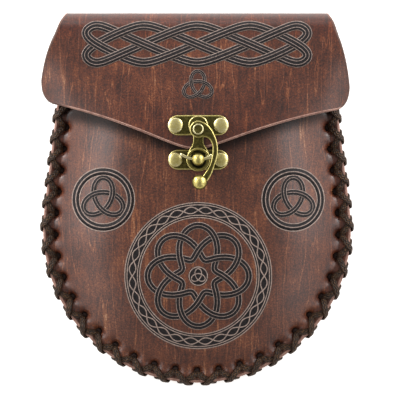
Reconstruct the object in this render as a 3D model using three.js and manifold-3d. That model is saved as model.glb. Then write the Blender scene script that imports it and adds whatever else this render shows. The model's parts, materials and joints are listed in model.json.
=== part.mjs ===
// Leather belt pouch with a laced rim and a brass swing clasp.
//
// The pouch is laid out in its own frame, in millimetres: x across, y up toward the fold, z out of
// the front, the origin at the centre of the round bottom and halfway between the two panels at
// their laced rim. The outer group then lies the pouch on its back, on its belt loop and bottom rim,
// with the middle of its bounding box over the origin and its lowest point at z = 0.
import * as THREE from "three";
import { mergeVertices } from "three/addons/utils/BufferGeometryUtils.js";
import Module from "manifold-3d";

const wasm = await Module();
wasm.setup();

// Leather
const LEATHER = 2.0; // thickness of every panel
const GAP = 0.3; // clearance between neighbouring solids
const RIM_RADIUS = 69.6; // cut edge of both panels round the bottom
const TAPER = THREE.MathUtils.degToRad(6.9); // lean of the straight sides
const PANEL_FACE = GAP / 2 + LEATHER; // outer face of either panel at the rim, from the middle plane

// Front panel: a dome that starts inside the laced rim
const DOME_RADIUS = 66;
const DOME_RISE = 20;
const DOME_POWER = 4;
const DOME_SHOULDER = 1.25;
const CROWN_Y = 40; // height of the fullest place
const FALL_ABOVE = 0.00265; // how fast the dome falls toward the mouth, 1/mm
const FALL_BELOW = 0.0008; // and toward the bottom, 1/mm
const MOUTH_Y = 84;
const PANEL_MESH = {
  hubY: 30,
  rimSteps: 44,
  mouthSteps: 10,
  rings: [0.15, 0.32, 0.5, 0.66, 0.79, 0.89, 0.96, 1], // shares of the way from the hub to the dome's edge
};

// Flap: carries on from the back panel over a rolled fold
const FLAP_CLEARANCE = 1.3; // between the dome and the flap, room for the rivet tails
const FLAP_START_Y = 91.5; // where the fold ends and the flap begins
const FLAP_TOP_HALF_WIDTH = 59.8;
const FLAP_HALF_WIDTH = 70.7;
const FLAP_WIDEST_Y = 66.5;
const FLAP_CORNER = { x: 64.8, y: 56 };
const FLAP_DROOP = 13; // how far the sides hang below the middle
const FLAP_DROOP_RUN = 46; // distance below the fold over which the droop comes in
const FLAP_DROOP_POWER = 3;
const FLAP_TIP_Y = 36.7;
const FLAP_EDGE_SLOPE = 0.475;
const FLAP_EDGE_BOW = 0.0024;
const FLAP_TIP_ROUND = 8;

// Lacing
const HOLE_LINE_RADIUS = 65;
const HOLE_PITCH = 9.94;
const HOLES_PER_SIDE = 18;
const HOLE_RADIUS = 1.15;
const LACE = 1.5; // thickness of one layer of lace
const LACING_RADIUS = RIM_RADIUS + GAP + LACE + 0.4;
const LACING_INNER_RADIUS = 66.2;
const LACING_TOP_Y = 82;
const LACING_BEVEL = 1.0;

// Clasp, placed from its pivot
const PIVOT = { x: 0.6, y: 45.4 };
const PLATE = { length: 27.6, height: 9.2, thickness: 1.2 };
const PLATE_ABOVE_PIVOT = 1.9;
const BOSS = { length: 9.0, height: 8.6, rise: 1.45 };
const POST_BELOW_PIVOT = 13.7;
const RING = { inner: 3.9, outer: 5.2 };
const NECK_HALF_WIDTH = 2.3;
const CATCH_THICKNESS = 1.4;
const COLLAR_RADIUS = 3.2;
const COLLAR_RISE = 1.8;
const POST_NECK_RADIUS = 1.7;
const BALL_RADIUS = 2.9;
const ARM = { thickness: 1.6, width: 2.7, eyeRadius: 3.9 };
const ARM_ROUTE = [
  { right: 0.0, down: 0.4 },
  { right: 5.0, down: 1.9 },
  { right: 7.6, down: 5.6 },
  { right: 8.0, down: 9.6 },
  { right: 7.2, down: 13.8 },
  { right: 5.6, down: 18.2 },
  { right: 3.2, down: 21.6 },
  { right: 0.6, down: 24.0 },
];
const THUMB_RADIUS = 3.4;
const SPUR = { radius: 0.65, tipAngle: 36, rootAngle: -28 }; // degrees from straight below the pivot
const PIVOT_HEAD = { radius: 2.5, height: 1.0 };

// Rivets
const RIVET = { domeRadius: 3.3, domeHeight: 1.0, shankRadius: 1.2, tailRadius: 2.2, tailHeight: 0.7 };
const CLASP_RIVET_OFFSET = 10.4;

// Belt loop
const LOOP = { width: 36, thickness: 2.0, bottomY: 8, topY: 87, tab: 11, ramp: 7, clearance: 5.0 };
const LOOP_RIVET_OFFSET = 11;

// Levels in the clasp, upward
const DOME_TOP = PANEL_FACE + DOME_RISE;
const FLAP_TOP = DOME_TOP + FLAP_CLEARANCE + LEATHER;
const PLATE_BOTTOM = FLAP_TOP + GAP;
const PLATE_TOP = PLATE_BOTTOM + PLATE.thickness;
const ARM_BOTTOM = PLATE_TOP + BOSS.rise + GAP;
const ARM_MIDDLE = ARM_BOTTOM + ARM.thickness / 2;
const CATCH_BOTTOM = DOME_TOP + GAP;
const CATCH_TOP = CATCH_BOTTOM + CATCH_THICKNESS;
const POST = { x: PIVOT.x, y: PIVOT.y - POST_BELOW_PIVOT };

// The pouch lies on the underside of its bottom rim and on the loop's flat outer face.
const LACING_FACE = PANEL_FACE + GAP + LACE;
const CONTACT_Y = -(LACING_RADIUS - LACING_BEVEL);
const LOOP_FLAT_START = LOOP.bottomY + LOOP.tab + LOOP.ramp;
const LOOP_DEPTH = PANEL_FACE + LOOP.clearance + LOOP.thickness;
const REST_SLOPE = (LOOP_DEPTH - LACING_FACE) / (LOOP_FLAT_START - CONTACT_Y);
const floorAt = (y) => -LACING_FACE - REST_SLOPE * (y - CONTACT_Y);

// ---------------------------------------------------------------- solids

function toSolid(geometry) {
  const bare = geometry.clone();
  bare.deleteAttribute("normal");
  bare.deleteAttribute("uv");
  const merged = mergeVertices(bare, 1e-4);
  const vertProperties = new Float32Array(merged.attributes.position.array);
  const triVerts = new Uint32Array(merged.index.array);
  return new wasm.Manifold(new wasm.Mesh({ numProp: 3, vertProperties, triVerts }));
}

function toGeometry(solid) {
  const mesh = solid.getMesh();
  const geometry = new THREE.BufferGeometry();
  geometry.setAttribute("position", new THREE.BufferAttribute(mesh.vertProperties, 3));
  geometry.setIndex(new THREE.BufferAttribute(mesh.triVerts, 1));
  geometry.computeVertexNormals();
  return geometry;
}

function prism(shape, bottom, top, curveSegments = 24, bevel = 0) {
  const geometry = new THREE.ExtrudeGeometry(shape, {
    depth: top - bottom - 2 * bevel,
    bevelEnabled: bevel > 0,
    bevelThickness: bevel,
    bevelSize: bevel,
    bevelOffset: -bevel,
    bevelSegments: 1,
    curveSegments,
  });
  geometry.translate(0, 0, bottom + bevel);
  return toSolid(geometry);
}

function pin(x, y, radius, bottom, top, sides = 20) {
  const geometry = new THREE.CylinderGeometry(radius, radius, top - bottom, sides);
  geometry.rotateX(Math.PI / 2);
  geometry.translate(x, y, (top + bottom) / 2);
  return toSolid(geometry);
}

function ball(x, y, z, radius, sides = 20) {
  const geometry = new THREE.SphereGeometry(radius, sides, Math.round(sides / 2));
  geometry.translate(x, y, z);
  return toSolid(geometry);
}

// A solid of revolution about z. The profile lists radius and height, and closes on the axis.
function turned(profile, x, y, sides = 20) {
  const geometry = new THREE.LatheGeometry(profile.map(([r, z]) => new THREE.Vector2(r, z)), sides);
  geometry.rotateX(Math.PI / 2);
  geometry.translate(x, y, 0);
  return toSolid(geometry);
}

// A sheet of leather laid over a height function, from a hub out through rings of points. Every
// ring lists its points once round, and the last ring is the cut edge.
function dish(hub, rings, height) {
  const step = 0.05;
  const rise = (x, y) => new THREE.Vector3(x, y, height(x, y));
  const under = ({ x, y }) => {
    const slopeX = (height(x + step, y) - height(x - step, y)) / (2 * step);
    const slopeY = (height(x, y + step) - height(x, y - step)) / (2 * step);
    const normal = new THREE.Vector3(-slopeX, -slopeY, 1).normalize();
    return rise(x, y).addScaledVector(normal, -LEATHER);
  };
  const flat = [hub, ...rings.flat()];
  const points = [...flat.map(({ x, y }) => rise(x, y)), ...flat.map(under)];
  const round = rings[0].length;
  const last = rings.length - 1;
  const at = (ring, k) => 1 + ring * round + (k % round);
  const index = [];
  const both = (a, b, c) => index.push(a, b, c, a + flat.length, c + flat.length, b + flat.length);
  for (let k = 0; k < round; k++) {
    both(0, at(0, k), at(0, k + 1));
    for (let ring = 0; ring < last; ring++) {
      both(at(ring, k), at(ring + 1, k), at(ring + 1, k + 1));
      both(at(ring, k), at(ring + 1, k + 1), at(ring, k + 1));
    }
    const [a, b] = [at(last, k), at(last, k + 1)];
    index.push(a, a + flat.length, b + flat.length, a, b + flat.length, b);
  }
  const geometry = new THREE.BufferGeometry().setFromPoints(points);
  geometry.setIndex(index);
  return toSolid(geometry);
}

// A sheet of leather. The grid holds points on the outer face, and the inner face lies below it.
function sheet(grid) {
  const rows = grid.length;
  const columns = grid[0].length;
  const at = (j, i) => grid[Math.min(Math.max(j, 0), rows - 1)][Math.min(Math.max(i, 0), columns - 1)];
  const outer = [];
  const inner = [];
  for (let j = 0; j < rows; j++) {
    for (let i = 0; i < columns; i++) {
      const across = at(j, i + 1).clone().sub(at(j, i - 1));
      const along = at(j + 1, i).clone().sub(at(j - 1, i));
      const normal = across.cross(along).normalize();
      outer.push(at(j, i));
      inner.push(at(j, i).clone().addScaledVector(normal, -LEATHER));
    }
  }
  const points = [...outer, ...inner];
  const index = [];
  const quad = (a, b, c, d) => index.push(a, b, c, a, c, d);
  const top = (j, i) => j * columns + i;
  const under = (j, i) => rows * columns + j * columns + i;
  for (let j = 0; j + 1 < rows; j++) {
    for (let i = 0; i + 1 < columns; i++) {
      quad(top(j, i), top(j, i + 1), top(j + 1, i + 1), top(j + 1, i));
      quad(under(j, i), under(j + 1, i), under(j + 1, i + 1), under(j, i + 1));
    }
    quad(top(j, 0), top(j + 1, 0), under(j + 1, 0), under(j, 0));
    quad(top(j + 1, columns - 1), top(j, columns - 1), under(j, columns - 1), under(j + 1, columns - 1));
  }
  for (let i = 0; i + 1 < columns; i++) {
    quad(top(0, i + 1), top(0, i), under(0, i), under(0, i + 1));
    quad(top(rows - 1, i), top(rows - 1, i + 1), under(rows - 1, i + 1), under(rows - 1, i));
  }
  const geometry = new THREE.BufferGeometry().setFromPoints(points);
  geometry.setIndex(index);
  return toSolid(geometry);
}

const range = (from, to, steps) =>
  Array.from({ length: steps + 1 }, (_, k) => from + ((to - from) * k) / steps);

// ---------------------------------------------------------------- shapes of the leather

// Half the width of an outline offset to the given radius, at height y.
function halfWidth(radius, y) {
  if (y < radius * Math.sin(TAPER)) return Math.sqrt(Math.max(radius * radius - y * y, 0));
  return (radius - y * Math.sin(TAPER)) / Math.cos(TAPER);
}

// The U-shaped outline: a round bottom with straight sides up to topY.
function bodyShape(radius, topY) {
  const shape = new THREE.Shape();
  shape.moveTo(-halfWidth(radius, topY), topY);
  shape.lineTo(-radius * Math.cos(TAPER), radius * Math.sin(TAPER));
  shape.absarc(0, 0, radius, Math.PI - TAPER, 2 * Math.PI + TAPER, false);
  shape.lineTo(halfWidth(radius, topY), topY);
  shape.closePath();
  return shape;
}

// A place on the outline at the given radius, a distance along it from the bottom.
function rimPoint(radius, distance) {
  const arc = radius * (Math.PI / 2 + TAPER);
  const side = Math.sign(distance);
  const run = Math.abs(distance);
  const angle = Math.min(run, arc) / radius;
  const beyond = Math.max(run - arc, 0);
  const x = radius * Math.sin(angle) - beyond * Math.sin(TAPER);
  const y = -radius * Math.cos(angle) + beyond * Math.cos(TAPER);
  return { x: side * x, y };
}

function riseAt(y) {
  const fall = y > CROWN_Y ? FALL_ABOVE : FALL_BELOW;
  return DOME_RISE - fall * (y - CROWN_Y) ** 2;
}

// Outer face of the front panel.
function domeAt(x, y) {
  const reach = y < 0 ? Math.hypot(x, y) / DOME_RADIUS : Math.abs(x) / halfWidth(DOME_RADIUS, y);
  const share = Math.max(1 - Math.min(reach, 1) ** DOME_POWER, 0) ** DOME_SHOULDER;
  return PANEL_FACE + riseAt(y) * share;
}

// Outer face of the flap.
function flapAt(x, y) {
  const middle = PANEL_FACE + riseAt(y) + FLAP_CLEARANCE + LEATHER;
  const droop = FLAP_DROOP * THREE.MathUtils.smoothstep(FLAP_START_Y - y, 0, FLAP_DROOP_RUN);
  return middle - droop * (Math.abs(x) / FLAP_HALF_WIDTH) ** FLAP_DROOP_POWER;
}

function flapShape() {
  const lowerEdge = (x) => {
    const run = Math.hypot(x, FLAP_TIP_ROUND) - FLAP_TIP_ROUND;
    return FLAP_TIP_Y + FLAP_EDGE_SLOPE * run - FLAP_EDGE_BOW * run * run;
  };
  const foldTop = 100;
  const shape = new THREE.Shape();
  shape.moveTo(-FLAP_TOP_HALF_WIDTH, foldTop);
  shape.lineTo(-FLAP_TOP_HALF_WIDTH, 98);
  shape.quadraticCurveTo(-68.5, 84, -FLAP_HALF_WIDTH, FLAP_WIDEST_Y);
  shape.quadraticCurveTo(-FLAP_HALF_WIDTH, 57.6, -FLAP_CORNER.x, FLAP_CORNER.y);
  for (const x of range(-FLAP_CORNER.x, FLAP_CORNER.x, 28).slice(1)) {
    shape.lineTo(x, lowerEdge(x));
  }
  shape.quadraticCurveTo(FLAP_HALF_WIDTH, 57.6, FLAP_HALF_WIDTH, FLAP_WIDEST_Y);
  shape.quadraticCurveTo(68.5, 84, FLAP_TOP_HALF_WIDTH, 98);
  shape.lineTo(FLAP_TOP_HALF_WIDTH, foldTop);
  shape.closePath();
  return shape;
}

function backShape() {
  const foldTop = 100;
  const shape = new THREE.Shape();
  shape.moveTo(-FLAP_TOP_HALF_WIDTH, foldTop);
  shape.lineTo(-halfWidth(RIM_RADIUS, MOUTH_Y), MOUTH_Y);
  shape.absarc(0, 0, RIM_RADIUS, Math.PI - TAPER, 2 * Math.PI + TAPER, false);
  shape.lineTo(halfWidth(RIM_RADIUS, MOUTH_Y), MOUTH_Y);
  shape.lineTo(FLAP_TOP_HALF_WIDTH, foldTop);
  shape.closePath();
  return shape;
}

function lacingHoles(bottom, top) {
  const holes = [];
  for (let k = -HOLES_PER_SIDE; k <= HOLES_PER_SIDE; k++) {
    const { x, y } = rimPoint(HOLE_LINE_RADIUS, k * HOLE_PITCH);
    holes.push(pin(x, y, HOLE_RADIUS, bottom, top, 8));
  }
  return holes;
}

const shankHoles = (places, bottom, top) =>
  places.map(({ x, y }) => pin(x, y, RIVET.shankRadius + GAP, bottom, top, 12));

const pair = (middle, offset) => [
  { x: middle.x - offset, y: middle.y },
  { x: middle.x + offset, y: middle.y },
];

const HASP_MIDDLE = { x: PIVOT.x, y: PIVOT.y + PLATE_ABOVE_PIVOT };
const HASP_RIVETS = pair(HASP_MIDDLE, CLASP_RIVET_OFFSET);
const CATCH_RIVETS = pair(POST, CLASP_RIVET_OFFSET);
const LOOP_RIVETS = [
  ...pair({ x: 0, y: LOOP.bottomY + LOOP.tab / 2 }, LOOP_RIVET_OFFSET),
  ...pair({ x: 0, y: LOOP.topY - LOOP.tab / 2 }, LOOP_RIVET_OFFSET),
];

const cut = (solid, tools) => tools.reduce((rest, tool) => rest.subtract(tool), solid);
const join = (solids) => solids.reduce((sum, solid) => sum.add(solid));

// ---------------------------------------------------------------- leather pieces

// Once round an outline: up the rim from the left end of the mouth and back along the mouth.
function panelOutline(radius, mouthY) {
  const arc = radius * (Math.PI / 2 + TAPER);
  const length = arc + (mouthY - radius * Math.sin(TAPER)) / Math.cos(TAPER);
  const rim = range(-length, length, PANEL_MESH.rimSteps).map((run) => rimPoint(radius, run));
  const corner = halfWidth(radius, mouthY);
  const mouth = range(corner, -corner, PANEL_MESH.mouthSteps).slice(1, -1).map((x) => ({ x, y: mouthY }));
  return [...rim, ...mouth];
}

function frontPanel() {
  const hub = { x: 0, y: PANEL_MESH.hubY };
  const dome = panelOutline(DOME_RADIUS, MOUTH_Y - 1);
  const toward = ({ x, y }, share) => ({
    x: hub.x + (x - hub.x) * share,
    y: hub.y + (y - hub.y) * share,
  });
  const rings = PANEL_MESH.rings.map((share) => dome.map((point) => toward(point, share)));
  const panel = dish(hub, [...rings, panelOutline(RIM_RADIUS, MOUTH_Y)], domeAt);
  return cut(panel, [...lacingHoles(-1, 8), ...shankHoles(CATCH_RIVETS, 10, 30)]);
}

// The back, the fold and the flap are one piece: its outer face runs from the tip of the flap up,
// round the fold and down the back.
function backPanelFlap() {
  const slope = 2 * FALL_ABOVE * (FLAP_START_Y - CROWN_Y);
  const lean = Math.atan(slope);
  const start = flapAt(0, FLAP_START_Y);
  const foldRadius = (start + PANEL_FACE) / (1 + Math.cos(lean));
  const foldY = FLAP_START_Y - foldRadius * Math.sin(lean);
  const foldZ = foldRadius - PANEL_FACE;
  const spread = FLAP_HALF_WIDTH + 2;
  const columns = range(-spread, spread, 24);
  const flapRows = range(FLAP_TIP_Y - 3, FLAP_START_Y, 13).map((y) =>
    columns.map((x) => new THREE.Vector3(x, y, flapAt(x, y))),
  );
  const foldRows = range(lean, Math.PI, 12).slice(1).map((turn) =>
    columns.map((x) => {
      const y = foldY + foldRadius * Math.sin(turn);
      return new THREE.Vector3(x, y, foldZ + foldRadius * Math.cos(turn));
    }),
  );
  const backRow = columns.map((x) => new THREE.Vector3(x, -RIM_RADIUS - 3, -PANEL_FACE));
  const trim = prism(flapShape(), 6, 40, 8).add(prism(backShape(), -10, 6.01));
  const leather = sheet([...flapRows, ...foldRows, backRow]).intersect(trim);
  const tools = [
    ...lacingHoles(-5, 1),
    ...shankHoles(LOOP_RIVETS, -5, 1),
    ...shankHoles([PIVOT, ...HASP_RIVETS], 15, 40),
  ];
  return cut(leather, tools);
}

// The outer form of the lace that is wound over the rim, a band with a C section.
function edgeLacing() {
  const past = LACING_TOP_Y + 20;
  const rind = prism(bodyShape(LACING_RADIUS, LACING_TOP_Y), -LACING_FACE, LACING_FACE, 24, LACING_BEVEL);
  const middle = prism(bodyShape(LACING_INNER_RADIUS, past), -10, 10);
  const slot = prism(bodyShape(RIM_RADIUS + GAP, past), -PANEL_FACE - GAP, PANEL_FACE + GAP);
  return cut(rind, [middle, slot]);
}

// A strap with both ends riveted flat to the back, and room for a belt between them.
function beltLoop() {
  const { bottomY, topY, tab, ramp, thickness, width } = LOOP;
  const seat = -PANEL_FACE - GAP;
  const flatEnd = topY - tab - ramp;
  const outline = [
    { y: bottomY, z: seat },
    { y: bottomY + tab, z: seat },
    { y: LOOP_FLAT_START, z: floorAt(LOOP_FLAT_START) + thickness },
    { y: flatEnd, z: floorAt(flatEnd) + thickness },
    { y: topY - tab, z: seat },
    { y: topY, z: seat },
    { y: topY, z: seat - thickness },
    { y: topY - tab + 1, z: seat - thickness },
    { y: flatEnd + 1, z: floorAt(flatEnd + 1) },
    { y: LOOP_FLAT_START - 1, z: floorAt(LOOP_FLAT_START - 1) },
    { y: bottomY + tab - 1, z: seat - thickness },
    { y: bottomY, z: seat - thickness },
  ];
  const shape = new THREE.Shape(outline.map(({ y, z }) => new THREE.Vector2(z, y)));
  const geometry = new THREE.ExtrudeGeometry(shape, { depth: width, bevelEnabled: false });
  geometry.rotateY(-Math.PI / 2); // the outline's first axis turns to z and its depth to -x
  geometry.translate(width / 2, 0, 0);
  return cut(toSolid(geometry), shankHoles(LOOP_RIVETS, -20, 0));
}

// ---------------------------------------------------------------- clasp

function stadium(middle, length, height) {
  const end = (length - height) / 2;
  const shape = new THREE.Shape();
  shape.moveTo(middle.x - end, middle.y - height / 2);
  shape.lineTo(middle.x + end, middle.y - height / 2);
  shape.absarc(middle.x + end, middle.y, height / 2, -Math.PI / 2, Math.PI / 2, false);
  shape.lineTo(middle.x - end, middle.y + height / 2);
  shape.absarc(middle.x - end, middle.y, height / 2, Math.PI / 2, (3 * Math.PI) / 2, false);
  return shape;
}

function haspPlate() {
  const neck = new THREE.Shape();
  const ringTop = POST.y + RING.outer * 0.8;
  neck.moveTo(PIVOT.x - NECK_HALF_WIDTH, HASP_MIDDLE.y);
  neck.lineTo(PIVOT.x - NECK_HALF_WIDTH, ringTop + 3);
  neck.quadraticCurveTo(PIVOT.x - NECK_HALF_WIDTH, ringTop, PIVOT.x - RING.outer + 0.4, POST.y + 1.5);
  neck.lineTo(PIVOT.x + RING.outer - 0.4, POST.y + 1.5);
  neck.quadraticCurveTo(PIVOT.x + NECK_HALF_WIDTH, ringTop, PIVOT.x + NECK_HALF_WIDTH, ringTop + 3);
  neck.lineTo(PIVOT.x + NECK_HALF_WIDTH, HASP_MIDDLE.y);
  neck.closePath();
  const body = join([
    prism(stadium(HASP_MIDDLE, PLATE.length, PLATE.height), PLATE_BOTTOM, PLATE_TOP, 8, 0.3),
    prism(stadium(HASP_MIDDLE, BOSS.length, BOSS.height), PLATE_TOP - 0.5, PLATE_TOP + BOSS.rise, 8, 0.3),
    prism(neck, PLATE_BOTTOM, PLATE_TOP, 8),
    pin(POST.x, POST.y, RING.outer, PLATE_BOTTOM, PLATE_TOP, 28),
  ]);
  const ringHole = pin(POST.x, POST.y, RING.inner, PLATE_BOTTOM - 1, PLATE_TOP + 1, 24);
  const holes = shankHoles([PIVOT, ...HASP_RIVETS], PLATE_BOTTOM - 1, ARM_BOTTOM + 1);
  return cut(body, [ringHole, ...holes]);
}

// An arc of round wire about the pivot, in the middle of the arm's thickness.
function arcWire(radius, fromAngle, toAngle) {
  const angles = range(fromAngle, toAngle, 16).map(THREE.MathUtils.degToRad);
  const points = angles.map((angle) => new THREE.Vector3(
    PIVOT.x - POST_BELOW_PIVOT * Math.sin(angle),
    PIVOT.y - POST_BELOW_PIVOT * Math.cos(angle),
    ARM_MIDDLE,
  ));
  const section = new THREE.Shape().absarc(0, 0, radius, 0, 2 * Math.PI, false);
  const geometry = new THREE.ExtrudeGeometry(section, {
    steps: 16,
    curveSegments: 5,
    extrudePath: new THREE.CatmullRomCurve3(points),
  });
  return toSolid(geometry);
}

function catchPlate() {
  const collarTop = CATCH_TOP + COLLAR_RISE;
  const body = join([
    prism(stadium(POST, PLATE.length, PLATE.height), CATCH_BOTTOM, CATCH_TOP, 8, 0.3),
    pin(POST.x, POST.y, COLLAR_RADIUS, CATCH_TOP - 0.5, collarTop, 20),
    pin(POST.x, POST.y, POST_NECK_RADIUS, collarTop - 0.5, ARM_MIDDLE - 1.5, 12),
    ball(POST.x, POST.y, ARM_MIDDLE, BALL_RADIUS),
  ]);
  const spurHole = arcWire(SPUR.radius + GAP + 0.05, -20, 20);
  return cut(body, [spurHole, ...shankHoles(CATCH_RIVETS, CATCH_BOTTOM - 1, CATCH_TOP + 1)]);
}

// A flat bar of constant width along a smooth route.
function barShape(route, width) {
  const curve = new THREE.SplineCurve(route.map(({ x, y }) => new THREE.Vector2(x, y)));
  const steps = 18;
  const side = (sign) => range(0, 1, steps).map((t) => {
    const place = curve.getPointAt(t);
    const heading = curve.getTangentAt(t);
    return new THREE.Vector2(
      place.x - (sign * heading.y * width) / 2,
      place.y + (sign * heading.x * width) / 2,
    );
  });
  return new THREE.Shape([...side(-1), ...side(1).reverse()]);
}

function swingArm() {
  const route = ARM_ROUTE.map(({ right, down }) => ({ x: PIVOT.x + right, y: PIVOT.y - down }));
  const thumb = route[route.length - 1];
  const tip = THREE.MathUtils.degToRad(SPUR.tipAngle);
  const armTop = ARM_BOTTOM + ARM.thickness;
  const body = join([
    pin(PIVOT.x, PIVOT.y, ARM.eyeRadius, ARM_BOTTOM, armTop, 24),
    prism(barShape(route, ARM.width), ARM_BOTTOM, armTop),
    ball(thumb.x, thumb.y, ARM_MIDDLE, THUMB_RADIUS, 24),
    arcWire(SPUR.radius, SPUR.rootAngle, SPUR.tipAngle),
    ball(
      PIVOT.x - POST_BELOW_PIVOT * Math.sin(tip),
      PIVOT.y - POST_BELOW_PIVOT * Math.cos(tip),
      ARM_MIDDLE,
      SPUR.radius,
      12,
    ),
  ]);
  const eye = pin(PIVOT.x, PIVOT.y, RIVET.shankRadius + GAP, ARM_BOTTOM - 1, armTop + 1, 16);
  return body.subtract(eye);
}

// ---------------------------------------------------------------- rivets

// A rivet along z: a domed head above headBottom, a shank, and a flat tail below tailTop.
function rivet(place, headBottom, tailTop, head = RIVET.domeRadius, height = RIVET.domeHeight) {
  const { shankRadius, tailRadius, tailHeight } = RIVET;
  const sphere = (head * head + height * height) / (2 * height);
  const dome = range(0, head, 4).slice(0, -1).map((r) => [
    r,
    headBottom + height - sphere + Math.sqrt(sphere * sphere - r * r),
  ]);
  const profile = [
    [0, tailTop - tailHeight],
    [tailRadius, tailTop - tailHeight],
    [tailRadius, tailTop],
    [shankRadius, tailTop],
    [shankRadius, headBottom],
    [head, headBottom],
    ...dome.reverse(),
  ];
  return turned(profile, place.x, place.y);
}

function loopRivet(place) {
  const head = -PANEL_FACE - GAP - LOOP.thickness - GAP;
  const { shankRadius, tailRadius, tailHeight } = RIVET;
  const inside = GAP / 2;
  const profile = [
    [0, head - tailHeight],
    [tailRadius, head - tailHeight],
    [tailRadius, head],
    [shankRadius, head],
    [shankRadius, inside],
    [tailRadius, inside],
    [tailRadius, inside + tailHeight],
    [0, inside + tailHeight],
  ];
  return turned(profile, place.x, place.y, 16);
}

// ---------------------------------------------------------------- assembly

const FINISH = {
  leather: { color: "#6e4128", roughness: 0.6, metalness: 0 },
  lace: { color: "#3a2c1e", roughness: 0.7, metalness: 0 },
  brass: { color: "#5c5426", roughness: 0.35, metalness: 1 },
};

function part(name, solid, finish) {
  const mesh = new THREE.Mesh(toGeometry(solid), new THREE.MeshStandardMaterial(FINISH[finish]));
  mesh.name = name;
  return mesh;
}

function leatherWork() {
  const group = new THREE.Group();
  group.add(part("back_panel_flap", backPanelFlap(), "leather"));
  group.add(part("front_panel", frontPanel(), "leather"));
  group.add(part("edge_lacing", edgeLacing(), "lace"));
  group.add(part("belt_loop", beltLoop(), "leather"));
  const names = ["lower_left", "lower_right", "upper_left", "upper_right"];
  names.forEach((name, k) => group.add(part(`loop_rivet_${name}`, loopRivet(LOOP_RIVETS[k]), "brass")));
  return group;
}

function clasp() {
  const group = new THREE.Group();
  const underFlap = ({ x, y }) => flapAt(x, y) - LEATHER - GAP;
  const underPanel = ({ x, y }) => domeAt(x, y) - LEATHER - GAP;
  const armTop = ARM_BOTTOM + ARM.thickness;
  group.add(part("hasp_plate", haspPlate(), "brass"));
  group.add(part("catch_plate", catchPlate(), "brass"));
  group.add(part("swing_arm", swingArm(), "brass"));
  const pivot = rivet(PIVOT, armTop + GAP, underFlap(PIVOT), PIVOT_HEAD.radius, PIVOT_HEAD.height);
  group.add(part("pivot_rivet", pivot, "brass"));
  ["left", "right"].forEach((side, k) => {
    const hasp = HASP_RIVETS[k];
    const caught = CATCH_RIVETS[k];
    group.add(part(`hasp_rivet_${side}`, rivet(hasp, PLATE_TOP + GAP / 2, underFlap(hasp)), "brass"));
    group.add(part(`catch_rivet_${side}`, rivet(caught, CATCH_TOP + GAP, underPanel(caught)), "brass"));
  });
  return group;
}

const pouch = new THREE.Group();
pouch.add(leatherWork(), clasp());
pouch.rotation.x = Math.atan(REST_SLOPE);

const model = new THREE.Group();
model.add(pouch);
model.updateMatrixWorld(true);
const bounds = new THREE.Box3().setFromObject(model, true);
const centre = bounds.getCenter(new THREE.Vector3());
pouch.position.set(-centre.x, -centre.y, -bounds.min.z);

export default model;
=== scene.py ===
"""A round-bottomed leather belt pouch, laced round its rim and closed by a brass swing clasp.

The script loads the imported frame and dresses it: dense leather sheets with punched and dimpled lacing
holes, a cross-wound leather lace, knotwork burnt into the flap and the front, and a modelled clasp.
Sizes are millimetres in the pouch's own frame, x across, y toward the fold and z out of the front, with
the origin at the centre of the round bottom. PouchFrame carries them into the row frame in metres.
"""

from __future__ import annotations

import json
import logging
import math
from dataclasses import dataclass, field
from enum import Enum
from typing import Any, Callable, Iterable, Sequence

import bmesh
import bpy
from mathutils import Matrix, Vector

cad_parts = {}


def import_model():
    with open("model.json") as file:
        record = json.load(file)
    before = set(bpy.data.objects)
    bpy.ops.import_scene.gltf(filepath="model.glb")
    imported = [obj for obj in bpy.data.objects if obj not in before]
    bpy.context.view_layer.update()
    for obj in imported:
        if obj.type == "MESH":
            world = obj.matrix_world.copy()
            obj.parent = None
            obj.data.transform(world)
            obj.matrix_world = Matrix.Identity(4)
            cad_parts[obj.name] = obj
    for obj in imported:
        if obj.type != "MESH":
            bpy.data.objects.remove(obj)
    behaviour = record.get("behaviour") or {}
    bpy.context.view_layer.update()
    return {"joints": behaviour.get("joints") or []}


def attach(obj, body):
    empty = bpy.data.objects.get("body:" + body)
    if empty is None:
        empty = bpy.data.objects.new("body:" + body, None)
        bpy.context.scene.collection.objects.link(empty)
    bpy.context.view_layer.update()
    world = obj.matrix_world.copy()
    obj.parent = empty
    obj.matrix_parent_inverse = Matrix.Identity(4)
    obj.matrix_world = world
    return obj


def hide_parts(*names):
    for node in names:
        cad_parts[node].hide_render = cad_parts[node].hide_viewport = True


LOG = logging.getLogger("pouch")
MM = 0.001
BODY = "pouch"
ARM_BODY = "swing_arm"
UV_MAP = "UVMap"
WELD = 1e-4
SIDES = {"left": -1.0, "right": 1.0}
PIVOT = (0.6, 45.4, 28.65)  # the swing arm's joint, in the pouch's own frame

Point = tuple[float, float]
Spot = tuple[float, float, float]
Stops = tuple[tuple[float, str], ...]
Placer = Callable[[float, float], Vector]
Side = Callable[[float], Vector]
Height = Callable[[float, float], float]
Curve = Callable[[float], Point]
Crossing = tuple[tuple[int, float], tuple[int, float], float]
Mesh = bmesh.types.BMesh
Material = bpy.types.Material
Tree = bpy.types.NodeTree
Node = bpy.types.Node
Socket = bpy.types.NodeSocket
Inputs = dict[str | int, Any]


class Layer(Enum):
    """Which of two crossing strands or bands lies on top."""

    UNDER = "under"
    OVER = "over"


class Mark(Enum):
    """What is marked point by point on a mesh, for its finish to show."""

    # How much darker the colour is made: toward the rim, over the flap, and over the fold as painted shade.
    SHADE = "shade"
    # Painted shade in the lacing holes and below the flap's edge, and dye on the raw edge.
    DYE_AND_SHADE = "grime"
    # Rubbed brightness of the brass, with painted shade where it turns away from the front and on the collar
    # in the ring.
    WEAR_AND_SHADE = "wear"


class Burn(Enum):
    """The knotwork's finishes, by their number on its pieces."""

    WIDE = 0
    NARROW = 1
    GROUND = 2
    LINE = 3


# ------------------------------------------------------------------ small helpers


def lerp(a: float, b: float, share: float) -> float:
    """Returns the value a share of the way from a to b."""
    return a + (b - a) * share


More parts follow.
